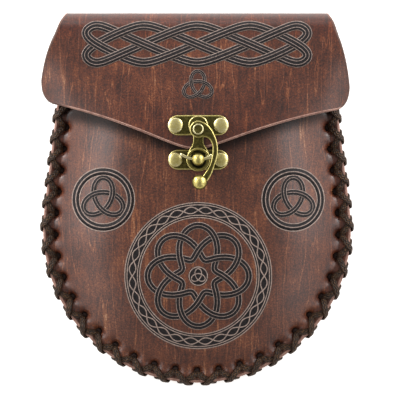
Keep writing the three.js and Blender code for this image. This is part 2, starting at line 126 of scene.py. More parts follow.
def smooth(value: float, low: float, high: float) -> float:
    """Eases from 0 to 1.

    Args:
        value: The value to ease.
        low: Where 0 ends.
        high: Where 1 starts.

    Returns:
        0 below low, 1 above high and an eased value between.
    """
    share = min(max((value - low) / (high - low), 0.0), 1.0)
    return share * share * (3 - 2 * share)


def spread(first: float, last: float, steps: int) -> list[float]:
    """Returns steps + 1 evenly spaced values from first to last."""
    return [lerp(first, last, k / steps) for k in range(steps + 1)]


def boxed(wave: float, power: float) -> float:
    """Returns a sine or cosine flattened toward -1 and 1, which squares off a round section."""
    return math.copysign(abs(wave) ** power, wave)


def linear(colour: str) -> tuple[float, float, float, float]:
    """Turns an sRGB hex colour to linear.

    Args:
        colour: The colour, such as "#6e4232".

    Returns:
        Linear red, green, blue and an alpha of 1.
    """
    parts = [int(colour[k : k + 2], 16) / 255 for k in (1, 3, 5)]
    red, green, blue = [c / 12.92 if c <= 0.04045 else ((c + 0.055) / 1.055) ** 2.4 for c in parts]
    return red, green, blue, 1.0


def add_node(
    tree: Tree,
    kind: str,
    settings: dict[str, Any] | None = None,
    inputs: Inputs | None = None,
) -> Node:
    """Adds one node with its settings and links.

    Args:
        tree: The node tree it goes in.
        kind: The node's type name, such as "ShaderNodeMath".
        settings: Attribute values; "stops" lists a colour ramp's positions and hex colours.
        inputs: Values, output sockets, or nodes for their first output, by the input's name or number.

    Returns:
        The new node.
    """
    node = tree.nodes.new(kind)
    for name, value in (settings or {}).items():
        if name == "stops":
            elements = node.color_ramp.elements
            while len(elements) < len(value):
                elements.new(0.5)
            for element, (position, colour) in zip(elements, value):
                element.position = position
                element.color = linear(colour)
        else:
            setattr(node, name, value)
    for key, value in (inputs or {}).items():
        if isinstance(value, Node):
            value = value.outputs[0]
        if isinstance(value, Socket):
            tree.links.new(value, node.inputs[key])
        else:
            node.inputs[key].default_value = value
    return node


# ------------------------------------------------------------------ the frame and the leather's shapes


@dataclass(frozen=True)
class PouchFrame:
    """Carries places from the pouch's own frame, in millimetres, into the row frame, in metres."""

    matrix: Matrix

    @classmethod
    def from_joint(cls, joint: dict, pivot: Vector) -> "PouchFrame":
        """Reads the pouch's lean and place from the swing arm's joint.

        Args:
            joint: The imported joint, whose axis is the pouch's z.
            pivot: The joint's place in the pouch's own frame.

        Returns:
            The frame.
        """
        axis = Vector(joint["axis"]).normalized()
        lean = Matrix.Rotation(math.atan2(-axis.y, axis.z), 4, "X")
        scale = Matrix.Scale(MM, 4)
        place = Vector(joint["pos_m"]) - lean @ (pivot * MM)
        return cls(Matrix.Translation(place) @ lean @ scale)


@dataclass(frozen=True)
class LeatherPattern:
    """The outlines and surfaces of the leather, in millimetres in the pouch's own frame."""

    leather: float = 2.0
    gap: float = 0.3
    rim_radius: float = 70.6
    taper: float = math.radians(6.9)
    dome_radius: float = 66.0
    dome_rise: float = 20.0
    dome_power: float = 4.0
    dome_shoulder: float = 1.25
    crown_y: float = 40.0
    fall_above: float = 0.00265
    fall_below: float = 0.0008
    mouth_y: float = 84.0
    flap_clearance: float = 1.3
    flap_start_y: float = 91.5
    flap_top_half_width: float = 59.8
    flap_half_width: float = 70.7
    flap_widest_y: float = 66.5
    flap_corner: Point = (64.8, 56.0)
    flap_bend: Point = (68.5, 84.0)
    flap_side_top: float = 98.0
    flap_droop: float = 13.0
    flap_droop_run: float = 46.0
    flap_curl: float = 2.4
    flap_tip_y: float = 36.7
    flap_edge_slope: float = 0.475
    flap_edge_bow: float = 0.0024
    flap_tip_round: float = 8.0
    flap_skew: float = 0.021
    hole_line_radius: float = 65.0
    hole_offset: float = 0.4
    hole_pitch: float = 9.94
    holes_per_side: int = 18
    hole_radius: float = 1.5
    swell_radius: float = 66.8
    swell_reach: float = 3.2
    swell_rise: float = 0.6
    pull_depth: float = 2.0
    pull_reach: float = 2.0

    @property
    def face(self) -> float:
        """The height of either panel's outer face at the rim."""
        return self.gap / 2 + self.leather

    def half_width(self, radius: float, y: float) -> float:
        """Half the width of the outline.

        Args:
            radius: The outline's radius round the bottom.
            y: The height at which it is measured.

        Returns:
            Half the width there.
        """
        if y < radius * math.sin(self.taper):
            return math.sqrt(max(radius * radius - y * y, 0.0))
        return (radius - y * math.sin(self.taper)) / math.cos(self.taper)

    def rim_length(self, radius: float, top: float) -> float:
        """The run along the outline from the bottom to height top."""
        arc = radius * (math.pi / 2 + self.taper)
        return arc + (top - radius * math.sin(self.taper)) / math.cos(self.taper)

    def rim_point(self, radius: float, run: float) -> Point:
        """A place on the outline at a radius.

        Args:
            radius: The outline's radius round the bottom.
            run: The distance along it from the bottom, to the right.

        Returns:
            x and y.
        """
        arc = radius * (math.pi / 2 + self.taper)
        angle = min(abs(run), arc) / radius
        beyond = max(abs(run) - arc, 0.0)
        x = radius * math.sin(angle) - beyond * math.sin(self.taper)
        y = -radius * math.cos(angle) + beyond * math.cos(self.taper)
        return math.copysign(x, run), y

    def rim_out(self, radius: float, run: float) -> Vector:
        """The direction out of the outline at a run along it."""
        angle = min(abs(run) / radius, math.pi / 2 + self.taper)
        return Vector((math.copysign(math.sin(angle), run), -math.cos(angle), 0.0))

    def rim_place(self, x: float, y: float) -> Point:
        """How far out a place lies, and its run along the hole line.

        Args:
            x: Across the pouch.
            y: Up the pouch.

        Returns:
            The radius of the outline through the place, and the run.
        """
        angle = math.atan2(abs(x), -y)
        corner = math.pi / 2 + self.taper
        if angle < corner:
            return math.hypot(x, y), math.copysign(self.hole_line_radius * angle, x)
        radius = abs(x) * math.cos(self.taper) + y * math.sin(self.taper)
        along = -abs(x) * math.sin(self.taper) + y * math.cos(self.taper)
        return radius, math.copysign(self.hole_line_radius * corner + along, x)

    def hole_runs(self) -> list[float]:
        """The runs of the lacing holes along the hole line."""
        count = self.holes_per_side
        return [k * self.hole_pitch for k in range(-count, count + 1)]

    def hole_places(self) -> list[Point]:
        """The middles of the lacing holes."""
        places = []
        for run in self.hole_runs():
            x, y = self.rim_point(self.hole_line_radius, run)
            outward = self.rim_out(self.hole_line_radius, run) * self.hole_offset
            places.append((x + outward.x, y + outward.y))
        return places

    def rise(self, y: float) -> float:
        """The dome's height over the rim along the middle of the pouch."""
        fall = self.fall_above if y > self.crown_y else self.fall_below
        return self.dome_rise - fall * (y - self.crown_y) ** 2

    def dome(self, x: float, y: float) -> float:
        """The height of the front panel's outer face.

        Args:
            x: Across the pouch.
            y: Up the pouch.

        Returns:
            Its height over the rim's middle plane.
        """
        if y < 0:
            reach = math.hypot(x, y) / self.dome_radius
        else:
            reach = abs(x) / self.half_width(self.dome_radius, y)
        share = max(1 - min(reach, 1.0) ** self.dome_power, 0.0) ** self.dome_shoulder
        return self.face + self.rise(y) * share

    def flap(self, x: float, y: float) -> float:
        """The height of the flap's outer face.

        Args:
            x: Across the pouch.
            y: Up the pouch.

        Returns:
            Its height over the rim's middle plane.
        """
        middle = self.face + self.rise(y) + self.flap_clearance + self.leather
        drop = self.flap_start_y - y
        side = abs(x) / self.flap_half_width
        droop = self.flap_droop * smooth(drop, 0.0, self.flap_droop_run) * side**3
        curl = self.flap_curl * smooth(drop, 0.0, 20.0) * (max(side - 0.8, 0.0) / 0.2) ** 2
        return middle - droop - curl

    def flap_edge(self, x: float) -> float:
        """The height of the flap's lower edge."""
        run = math.hypot(x, self.flap_tip_round) - self.flap_tip_round
        return self.flap_tip_y + self.flap_edge_slope * run - self.flap_edge_bow * run * run

    def flap_side(self, share: float) -> Point:
        """A place on the flap's right side.

        Args:
            share: The share of the way from the fold to the flap's widest place.

        Returns:
            x and y.
        """
        ends = ((self.flap_top_half_width, self.flap_side_top), (self.flap_half_width, self.flap_widest_y))
        low, middle, high = (1 - share) ** 2, 2 * share * (1 - share), share * share
        x = ends[0][0] * low + self.flap_bend[0] * middle + ends[1][0] * high
        y = ends[0][1] * low + self.flap_bend[1] * middle + ends[1][1] * high
        return x + smooth(y, 88.0, 97.0), y

    def flap_side_share(self, y: float) -> float:
        """How far along the flap's side a height lies.

        Args:
            y: Up the pouch.

        Returns:
            The share there.
        """
        drop = self.flap_side_top - y
        run = 2 * (self.flap_side_top - self.flap_bend[1])
        bow = self.flap_widest_y - self.flap_side_top + run
        return 2 * drop / (run + math.sqrt(max(run * run - 4 * bow * drop, 0.0)))

    def askew(self, x: float, y: float) -> Point:
        """Turns a place on the flap by the small angle that the flap is folded askew."""
        drop = self.flap_side_top - y
        return x - self.flap_skew * drop, y - self.flap_skew * x * smooth(drop, 0.0, 30.0)

    @property
    def fold_lean(self) -> float:
        """The angle at which the flap runs into the fold."""
        return math.atan(2 * self.fall_above * (self.flap_start_y - self.crown_y))

    @property
    def fold_radius(self) -> float:
        """The radius of the fold's outer face."""
        start = self.flap(0.0, self.flap_start_y)
        return (start + self.face) / (1 + math.cos(self.fold_lean))

    @property
    def fold_y(self) -> float:
        """The height of the fold's axis."""
        return self.flap_start_y - self.fold_radius * math.sin(self.fold_lean)

    def flap_face(self, x: float, y: float) -> float:
        """The height of the flap's outer face, and of the fold's front half above it.

        Args:
            x: Across the pouch.
            y: Up the pouch.

        Returns:
            Its height over the rim's middle plane.
        """
        if y <= self.flap_start_y:
            return self.flap(x, y)
        radius = self.fold_radius
        return radius - self.face + math.sqrt(max(radius**2 - (y - self.fold_y) ** 2, 0.0))

    def pucker(self, x: float, y: float) -> float:
        """How far the lace pulls the leather in at its holes and lets it swell between them.

        Args:
            x: Across the pouch.
            y: Up the pouch.

        Returns:
            How far out the leather moves; inward is negative.
        """
        radius, run = self.rim_place(x, y)
        phase = (run / self.hole_pitch) % 1.0
        away = (radius - self.swell_radius) / self.swell_reach
        swell = -math.cos(2 * math.pi * phase) * math.exp(-(away**2))
        pull = math.exp(-((self.from_hole(x, y) / self.pull_reach) ** 2))
        return self.swell_rise * swell - self.pull_depth * pull

    def from_hole(self, x: float, y: float) -> float:
        """The distance from a place to the nearest lacing hole's middle.

        Args:
            x: Across the pouch.
            y: Up the pouch.

        Returns:
            The distance.
        """
        radius, run = self.rim_place(x, y)
        count = self.holes_per_side
        off = run - min(max(round(run / self.hole_pitch), -count), count) * self.hole_pitch
        return math.hypot(off, radius - self.hole_line_radius - self.hole_offset)


def laid_grid(columns: int, rows: int, place: Placer) -> Mesh:
    """Lays a grid of quads over a surface, with the grid's own shares kept as a UV map.

    Args:
        columns: Quads across.
        rows: Quads along.
        place: Gives the point for a share across and a share along.

    Returns:
        The new mesh.
    """
    bm = bmesh.new()
    bmesh.ops.create_grid(bm, x_segments=columns, y_segments=rows, size=0.5)
    uv = bm.loops.layers.uv.new(UV_MAP)
    for face in bm.faces:
        for loop in face.loops:
            loop[uv].uv = (loop.vert.co.x + 0.5, loop.vert.co.y + 0.5)
    for vert in bm.verts:
        vert.co = place(vert.co.x + 0.5, vert.co.y + 0.5)
    return bm


def mark(bm: Mesh, what: Mark, strength: Callable[[Vector], float]) -> None:
    """Marks how strong something is at each point of a mesh.

    Args:
        bm: The mesh, in the pouch's own frame.
        what: What is marked.
        strength: Gives its strength at a place.
    """
    layer = bm.verts.layers.float.new(what.value)
    for vert in bm.verts:
        vert[layer] = strength(vert.co)


def four_sided(bottom: Side, top: Side, left: Side, right: Side) -> Placer:
    """Fills the patch between four curves that meet at their ends.

    Args:
        bottom: The curve along the bottom, from left to right.
        top: The curve along the top, from left to right.
        left: The curve up the left.
        right: The curve up the right.

    Returns:
        A function from shares across and up to a point.
    """
    low_left, low_right, top_left, top_right = bottom(0), bottom(1), top(0), top(1)

    def place(u: float, v: float) -> Vector:
        """The patch's place for shares across and up."""
        corners = (low_left * (1 - u) + low_right * u) * (1 - v) + (top_left * (1 - u) + top_right * u) * v
        return bottom(u) * (1 - v) + top(u) * v + left(v) * (1 - u) + right(v) * u - corners

    return place


def toward_ends(share: float, pull: float) -> float:
    """Moves evenly spaced shares toward 0 and 1, so that a grid is finest at its edges."""
    return lerp(share, 0.5 - 0.5 * math.cos(math.pi * share), pull)


def punch(bm: Mesh, centres: Iterable[Point], radius: float, reach: Callable[[Vector], bool]) -> None:
    """Punches round holes straight down through a sheet.

    Args:
        bm: The sheet.
        centres: The holes' middles.
        radius: Their radius.
        reach: Tells whether a point may be cut.
    """
    for x, y in centres:
        corners = ((face, face.verts[0].co) for face in bm.faces)
        near = [f for f, co in corners if abs(co.x - x) < 2 * radius and abs(co.y - y) < 2 * radius]
        cut = []
        for face in near:
            middle = face.calc_center_median()
            if math.hypot(middle.x - x, middle.y - y) < radius and reach(middle):
                cut.append(face)
        edge = {v for face in cut for v in face.verts if any(f not in cut for f in v.link_faces)}
        bmesh.ops.delete(bm, geom=cut, context="FACES")
        for vert in edge:
            away = Vector((vert.co.x - x, vert.co.y - y, 0.0))
            around = away.normalized() * radius
            vert.co.x = x + around.x
            vert.co.y = y + around.y


def as_mesh(name: str, bm: Mesh) -> bpy.types.Mesh:
    """Turns a mesh being worked on, which is freed, to a finished one."""
    mesh = bpy.data.meshes.new(name)
    bm.to_mesh(mesh)
    bm.free()
    return mesh


def placed(name: str, data: bpy.types.ID) -> bpy.types.Object:
    """Puts an object of a mesh, lamp or camera in the scene."""
    item = bpy.data.objects.new(name, data)
    bpy.context.scene.collection.objects.link(item)
    return item


class Workshop:
    """Turns finished meshes into pieces that ride on the frame."""

    def __init__(self, frame: PouchFrame) -> None:
        """Keeps the frame that every piece is placed by."""
        self.frame = frame

    def piece(
        self,
        name: str,
        bm: Mesh,
        finishes: Sequence[Material],
        slot: str,
        body: str = BODY,
    ) -> bpy.types.Object:
        """Makes an object of a mesh laid out in the pouch's frame.

        Args:
            name: The piece's name.
            bm: The mesh, in millimetres; it is freed.
            finishes: The piece's materials.
            slot: The record's material slot, which is not used.
            body: The body it rides on.

        Returns:
            The new object.
        """
        bm.transform(self.frame.matrix)
        mesh = as_mesh(name, bm)
        for polygon in mesh.polygons:
            polygon.use_smooth = True
        for finish in finishes:
            mesh.materials.append(finish)
        piece = placed(name, mesh)
        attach(piece, body)
        LOG.info("%s: %d faces", name, len(mesh.polygons))
        return piece

    @staticmethod
    def thicken(piece: bpy.types.Object, thickness: float) -> None:
        """Gives a sheet its thickness, inward, with its second finish on the cut.

        Args:
            piece: The sheet.
            thickness: In millimetres.
        """
        wall = piece.modifiers.new("wall", "SOLIDIFY")
        wall.thickness = thickness * MM
        wall.offset = -1.0
        wall.material_offset_rim = min(1, len(piece.data.materials) - 1)


def edge_bead(place: Placer, columns: int, rows: int, thickness: float) -> Mesh:
    """Rounds the cut edge of a laid sheet with a bead that runs once round it.

    Args:
        place: The sheet's surface.
        columns: Its cells across.
        rows: Its cells along.
        thickness: The sheet's thickness.

    Returns:
        The bead's closed mesh.
    """
    route = [(u, 0.0, 0.0, 1.0) for u in spread(0, 1, columns)[:-1]]
    route += [(1.0, v, -1.0, 0.0) for v in spread(0, 1, rows)[:-1]]
    route += [(1 - u, 1.0, 0.0, -1.0) for u in spread(0, 1, columns)[:-1]]
    route += [(0.0, 1 - v, 1.0, 0.0) for v in spread(0, 1, rows)[:-1]]
    spots = [place(u, v) for u, v, _, _ in route]
    inner = [place(u + 0.01 * du, v + 0.01 * dv) for u, v, du, dv in route]
    count = len(spots)

    def ring(turn: float, share: float) -> Vector:
        """The bead's place for a share round its section and a share along it."""
        k = round(share * count) % count
        ahead = (spots[(k + 1) % count] - spots[k - 1]).normalized()
        inward = inner[k] - spots[k]
        inward = (inward - ahead * inward.dot(ahead)).normalized()
        up = ahead.cross(inward)
        middle = spots[k] + inward * 0.4 - up * thickness / 2
        angle = -2 * math.pi * turn
        high = boxed(math.sin(angle), 0.8)
        return middle - inward * (0.8 * math.cos(angle)) + up * (thickness / 2 + 0.08) * high

    bm = laid_grid(12, count, ring)
    bmesh.ops.remove_doubles(bm, verts=bm.verts, dist=WELD)
    bmesh.ops.recalc_face_normals(bm, faces=bm.faces)
    return bm


# ------------------------------------------------------------------ finishes


def mottle(tree: Tree, per_mm: float, detail: float, rough: float = 0.75) -> Node:
    """Adds the uneven patches of an aged surface, which lie still on the piece.

    Args:
        tree: The node tree.
        per_mm: Patches in a millimetre.
        detail: How many finer layers they have.
        rough: How strong the finer layers are.

    Returns:
        The node whose first output is the patches' strength.
    """
    place = add_node(tree, "ShaderNodeTexCoord").outputs["Object"]
    patches = {"Vector": place, "Scale": per_mm / MM, "Detail": detail, "Roughness": rough}
    return add_node(tree, "ShaderNodeTexNoise", inputs=patches)


def layered(tree: Tree, layers: Sequence[tuple[Node, float]]) -> Node:
    """Adds layers up.

    Args:
        tree: The node tree.
        layers: Each layer's node and its weight.

    Returns:
        The node whose first output is the sum.
    """
    total: Node | float = 0.0
    for layer, weight in layers:
        sources = {0: layer, 1: weight, 2: total}
        total = add_node(tree, "ShaderNodeMath", {"operation": "MULTIPLY_ADD"}, sources)
    return total


def darken_with_dye_and_shade(tree: Tree, colour: Node | Socket, dark_colour: str) -> tuple[Socket, Socket]:
    """Darkens a colour where the mesh is marked dark: painted shade on the leather and on the lace inside the
    holes, dye on the raw edge.

    Args:
        tree: The node tree.
        colour: The colour before it is darkened.
        dark_colour: The colour it is darkened to.

    Returns:
        The mark's strength, and the darkened colour.
    """
    grime = add_node(tree, "ShaderNodeAttribute", {"attribute_name": Mark.DYE_AND_SHADE.value}).outputs["Fac"]
    both = {0: grime, 6: colour, 7: linear(dark_colour)}
    return grime, add_node(tree, "ShaderNodeMix", {"data_type": "RGBA"}, both).outputs[2]


@dataclass(frozen=True)
class Finish:
    """A finish of the pouch: its material's name, and what its shader takes."""

    name: str

    def surface(self, tree: Tree) -> Inputs:
        """Adds the finish's patterns and returns the shader's inputs."""
        raise NotImplementedError

    def build(self) -> Material:
        """Builds the material."""
        material = bpy.data.materials.new(self.name)
        material.use_nodes = True
        tree = material.node_tree
        tree.nodes.clear()
        shader = add_node(tree, "ShaderNodeBsdfPrincipled", inputs=self.surface(tree))
        add_node(tree, "ShaderNodeOutputMaterial", inputs={"Surface": shader})
        return material


@dataclass(frozen=True)
class WaxedLeather(Finish):
    """Vegetable-tanned cowhide, dyed red-brown, antiqued and waxed.

    The dye lies in purple-brown clouds and orange streaks along the hide, and stretching has left thin
    pale lines. The pores are specks under a millimetre across, drawn twice as coarse as they are so that
    they show, and the wax on top mirrors the pale room in a soft veil wherever the hide turns away.
    """

    name: str = "waxed red-brown leather"
    dye: Stops = (
        (0.0, "#27140e"),
        (0.25, "#48261b"),
        (0.5, "#6b3923"),
        (0.75, "#8f5735"),
        (1.0, "#b98e6c"),
    )
    dye_range: Point = (1.05, 2.04)
    # Multiplied in where the shade mark is set; over the fold this is painted shade.
    deep: str = "#c9a48c"
    # Near black: the painted shade in the lacing pits and the painted shadow below the flap's edge.
    painted_shade: str = "#0d0807"
    cloud_mm: float = 16.0
    sway_mm: float = 7.0
    streak_mm: Point = (1.2, 22.0)
    wrinkle_mm: Point = (4.5, 70.0)
    wrinkle_reach: float = 0.014
    pore_mm: float = 0.75
    grain_mm: float = 0.9
    relief_mm: float = 0.16
    roughness: Point = (0.42, 0.6)
    wax: float = 0.42

    def surface(self, tree: Tree) -> Inputs:
        """Lays on the dye, the painted shade, the grain and the wax.

        Args:
            tree: The node tree.

        Returns:
            The shader's inputs.
        """
        place = add_node(tree, "ShaderNodeTexCoord").outputs["Object"]
        size = add_node(tree, "ShaderNodeMapping", inputs={"Vector": place, "Scale": (1 / MM,) * 3})
        clouds = {"Vector": size, "Scale": 1 / self.cloud_mm, "Detail": 3.0}
        drift = add_node(tree, "ShaderNodeTexNoise", inputs=clouds).outputs["Color"]
        sway = {0: drift, 1: (self.sway_mm,) * 3, 2: size}
        swayed = add_node(tree, "ShaderNodeVectorMath", {"operation": "MULTIPLY_ADD"}, sway)
        cloud, streak, pore, wrinkle = self._layers(tree, size, swayed)

        low, high = self.dye_range
        tone = layered(tree, ((cloud, 0.85), (streak, 0.8), (pore, 1.2), (wrinkle, 0.34)))
        dyed = {"Value": tone, "From Min": low, "From Max": high}
        share = add_node(tree, "ShaderNodeMapRange", inputs=dyed)
        colour = add_node(tree, "ShaderNodeValToRGB", {"stops": self.dye}, {"Fac": share})
        # The shade mark darkens the colour; over the fold it is painted shade.
        shade = add_node(tree, "ShaderNodeAttribute", {"attribute_name": Mark.SHADE.value}).outputs["Fac"]
        dyes = {0: shade, 6: colour, 7: linear(self.deep)}
        blend = {"data_type": "RGBA", "blend_type": "MULTIPLY"}
        shaded = add_node(tree, "ShaderNodeMix", blend, dyes).outputs[2]
        # Painted shade: near black in the lacing pits and below the flap's edge.
        grime, with_painted_shade = darken_with_dye_and_shade(tree, shaded, self.painted_shade)

        grain = {"Vector": swayed, "Scale": 1 / self.grain_mm, "Smoothness": 0.5}
        pebble = add_node(tree, "ShaderNodeTexVoronoi", {"feature": "SMOOTH_F1"}, grain)
        relief = layered(tree, ((pebble, 0.8), (streak, 1.2), (pore, 0.5), (wrinkle, 0.5)))
        depth = {"Strength": 0.6, "Distance": self.relief_mm * MM, "Height": relief}
        low, high = self.roughness
        polish = {"Value": cloud, "From Min": 0.35, "From Max": 0.65, "To Min": low, "To Max": high}
        # The wax is taken off where the shade is painted, so that no sheen shows there.
        waxed = {"Value": grime, "To Min": self.wax, "To Max": 0.0}
        return {
            "Base Color": with_painted_shade,
            "Roughness": add_node(tree, "ShaderNodeMapRange", inputs=polish),
            "Normal": add_node(tree, "ShaderNodeBump", inputs=depth),
            "IOR": 1.4,
            "Specular IOR Level": 0.3,
            "Coat Weight": add_node(tree, "ShaderNodeMapRange", inputs=waxed),
            "Coat Roughness": 0.36,
            "Coat IOR": 1.9,
        }

    def _layers(self, tree: Tree, size: Node, swayed: Node) -> tuple[Node, ...]:
        """Adds the layers that the hide's colour and relief are made of.

        Args:
            tree: The node tree.
            size: The coordinates, in millimetres.
            swayed: The same, swayed so that nothing runs quite straight.

        Returns:
            The clouds, the streaks, the pores and the pale lines.
        """
        pulled = []
        for at, (across, along) in ((swayed, self.streak_mm), (size, self.wrinkle_mm)):
            scale = (1 / across, 1 / along, 1 / along)
            pulled.append(add_node(tree, "ShaderNodeMapping", inputs={"Vector": at, "Scale": scale}))
        noises = []
        for at, scale, detail, rough in (
            (swayed, 1 / self.cloud_mm, 6.0, 0.66),
            (pulled[0], 1.0, 5.0, 0.7),
            (size, 1 / self.pore_mm, 2.0, 0.8),
            (pulled[1], 1.0, 2.0, 0.4),
        ):
            noise = {"Vector": at, "Scale": scale, "Detail": detail, "Roughness": rough}
            noises.append(add_node(tree, "ShaderNodeTexNoise", inputs=noise))
        *layers, level = noises
        off = add_node(tree, "ShaderNodeMath", {"operation": "SUBTRACT"}, {0: level, 1: 0.5})
        depth = add_node(tree, "ShaderNodeMath", {"operation": "ABSOLUTE"}, {0: off})
        near = {"Value": depth, "From Min": 0.0, "From Max": self.wrinkle_reach, "To Min": 1.0, "To Max": 0.0}
        return *layers, add_node(tree, "ShaderNodeMapRange", inputs=near)


@dataclass(frozen=True)
class RawEdge(Finish):
    """The cut edge of the hide: undyed pinkish fibre, a little dirty, coloured dark brown where marked: dye
    on the flap's sides, and painted shade on the lace inside the holes.
    """

    name: str = "raw leather edge"
    fibre: Stops = ((0.35, "#8d6558"), (0.6, "#b58d7e"))
    # Dark brown: dye on the flap's sides, and the painted shade of the lace inside the holes.
    dyed: str = "#2a1610"

    def surface(self, tree: Tree) -> Inputs:
        """Lays on the fibre, the dye and the painted shade."""
        fibre = mottle(tree, 0.35, 5.0, 0.7)
        clean = add_node(tree, "ShaderNodeValToRGB", {"stops": self.fibre}, {"Fac": fibre})
        relief = {"Strength": 0.6, "Distance": 0.12 * MM, "Height": fibre}
        bump = add_node(tree, "ShaderNodeBump", inputs=relief)
        return {"Base Color": darken_with_dye_and_shade(tree, clean, self.dyed)[1], "Roughness": 0.7, "Normal": bump}


@dataclass(frozen=True)
class BurntBand(Finish):
    """Leather burnt dark by a hot stamp, with pale lines rubbed along the band.

    The band's UV map runs across it in u. Each pale line lies at a share of the way from the band's
    middle to its edge.
    """

    name: str = "burnt leather band"
    width_mm: float = 3.2
    lines: tuple[float, ...] = (0.0, 0.93)
    line_mm: float = 0.24
    burnt: Stops = ((0.38, "#0d0b0c"), (0.66, "#292325"))
    rubbed: str = "#ad988d"

    def surface(self, tree: Tree) -> Inputs:
        """Burns the band and rubs its lines.

        Args:
            tree: The node tree.

        Returns:
            The shader's inputs.
        """
        char = mottle(tree, 0.9, 4.0)
        dark = add_node(tree, "ShaderNodeValToRGB", {"stops": self.burnt}, {"Fac": char})
        shares = add_node(tree, "ShaderNodeUVMap", {"uv_map": UV_MAP})
        parts = add_node(tree, "ShaderNodeSeparateXYZ", inputs={0: shares})
        side = add_node(tree, "ShaderNodeMath", {"operation": "MULTIPLY_ADD"}, {0: parts, 1: 2.0, 2: -1.0})
        off = add_node(tree, "ShaderNodeMath", {"operation": "ABSOLUTE"}, {0: side})
        marks: Node | float = 0.0
        for line in self.lines:
            within = {0: off, 1: line, 2: self._reach()}
            near = add_node(tree, "ShaderNodeMath", {"operation": "COMPARE"}, within)
            marks = add_node(tree, "ShaderNodeMath", {"operation": "MAXIMUM"}, {0: near, 1: marks})
        wear = {"Value": char, "From Min": 0.3, "From Max": 0.6, "To Min": 0.45, "To Max": 1.0}
        worn = add_node(tree, "ShaderNodeMapRange", inputs=wear)
        shown = add_node(tree, "ShaderNodeMath", {"operation": "MULTIPLY"}, {0: marks, 1: worn})
        both = {0: shown, 6: dark, 7: linear(self.rubbed)}
        relief = {"Strength": 0.7, "Distance": 0.2 * MM, "Height": shown}
        return {
            "Base Color": add_node(tree, "ShaderNodeMix", {"data_type": "RGBA"}, both).outputs[2],
            "Roughness": 0.7,
            "Specular IOR Level": 0.3,
            "Normal": add_node(tree, "ShaderNodeBump", inputs=relief),
        }

    def _reach(self) -> float:
        """Half a pale line's width, as a share of half the band's."""
        return self.line_mm / self.width_mm


@dataclass(frozen=True)
class BraidedLace(Finish):
    """Flat braided leather lace, dark olive brown, with ribs that meet in a chevron at its middle.

    The lace's UV map runs round it in u and along it, in millimetres, in v.
    """

    name: str = "braided leather lace"
    dye: Stops = ((0.4, "#0e0703"), (0.7, "#2e1b0e"), (1.0, "#6e4c2a"))
    ribs: int = 4
    plait_mm: float = 1.5
    slant: float = 1.7
    # How much lighter the ribs' crests are painted than their grooves: painted highlight and shade.
    rib_highlight: float = 0.34

    def surface(self, tree: Tree) -> Inputs:
        """Braids the ribs and dyes them.

        Args:
            tree: The node tree.

        Returns:
            The shader's inputs.
        """
        shares = add_node(tree, "ShaderNodeUVMap", {"uv_map": UV_MAP})
        parts = add_node(tree, "ShaderNodeSeparateXYZ", inputs={0: shares})
        beats = {0: parts.outputs[1], 1: 2 * math.pi / self.plait_mm}
        beat = add_node(tree, "ShaderNodeMath", {"operation": "MULTIPLY"}, beats)
        sway = add_node(tree, "ShaderNodeMath", {"operation": "SINE"}, {0: beat})
        slanted = add_node(tree, "ShaderNodeMath", {"operation": "MULTIPLY"}, {0: sway, 1: self.slant})
        turns = {0: parts, 1: 4 * math.pi * self.ribs, 2: slanted}
        across = add_node(tree, "ShaderNodeMath", {"operation": "MULTIPLY_ADD"}, turns)
        wave = add_node(tree, "ShaderNodeMath", {"operation": "SINE"}, {0: across})
        rib = add_node(tree, "ShaderNodeMath", {"operation": "MULTIPLY_ADD"}, {0: wave, 1: 0.5, 2: 0.5})
        # Painted highlight on the ribs' crests and painted shade in the grooves between them.
        light = {0: rib, 1: self.rib_highlight, 2: mottle(tree, 0.8, 4.0)}
        tone = add_node(tree, "ShaderNodeMath", {"operation": "MULTIPLY_ADD"}, light)
        relief = {"Strength": 0.9, "Distance": 0.3 * MM, "Height": rib}
        return {
            "Base Color": add_node(tree, "ShaderNodeValToRGB", {"stops": self.dye}, {"Fac": tone}),
            "Roughness": 0.6,
            "Specular IOR Level": 0.35,
            "Normal": add_node(tree, "ShaderNodeBump", inputs=relief),
        }


@dataclass(frozen=True)
class AntiqueBrass(Finish):
    """Cast brass, blackened all over and rubbed bright again on its edges, domes and balls."""

    name: str = "antique brass"
    metal: Stops = (
        (0.0, "#0b0a06"),
        (0.26, "#3d391f"),
        (0.42, "#6a6233"),
        (0.62, "#b5a75f"),
        (0.82, "#e0d186"),
        (1.0, "#f1e7b4"),
    )
    patchiness: float = 0.6

    def surface(self, tree: Tree) -> Inputs:
        """Blackens the brass and rubs it.

        Args:
            tree: The node tree.

        Returns:
            The shader's inputs.
        """
        patch = mottle(tree, 1.0, 4.0)
        # The wear mark is rubbing on edges and domes, with painted shade where the brass turns away from the
        # front and on the collar.
        wear = add_node(tree, "ShaderNodeAttribute", {"attribute_name": Mark.WEAR_AND_SHADE.value}).outputs["Fac"]
        rubbing = {0: patch, 1: self.patchiness, 2: wear}
        tone = add_node(tree, "ShaderNodeMath", {"operation": "MULTIPLY_ADD", "use_clamp": True}, rubbing)
        polish = {"Value": tone, "From Min": 0.1, "From Max": 0.9, "To Min": 0.55, "To Max": 0.36}
        relief = {"Strength": 0.35, "Distance": 0.1 * MM, "Height": patch}
        return {
            "Base Color": add_node(tree, "ShaderNodeValToRGB", {"stops": self.metal}, {"Fac": tone}),
            "Metallic": 1.0,
            "Roughness": add_node(tree, "ShaderNodeMapRange", inputs=polish),
            "Normal": add_node(tree, "ShaderNodeBump", inputs=relief),
        }


@dataclass(frozen=True)
class StudioPaper(Finish):
    """The pale paper that the pouch lies on, lit from below as a light table is."""

    name: str = "white studio paper"
    colour: str = "#f4f3f1"
    glow: float = 0.75

    def surface(self, tree: Tree) -> Inputs:
        """Makes the paper glow in its own colour."""
        white = linear(self.colour)
        return {
            "Base Color": white,
            "Roughness": 0.9,
            "Emission Color": white,
            "Emission Strength": self.glow,
        }


# ------------------------------------------------------------------ leather


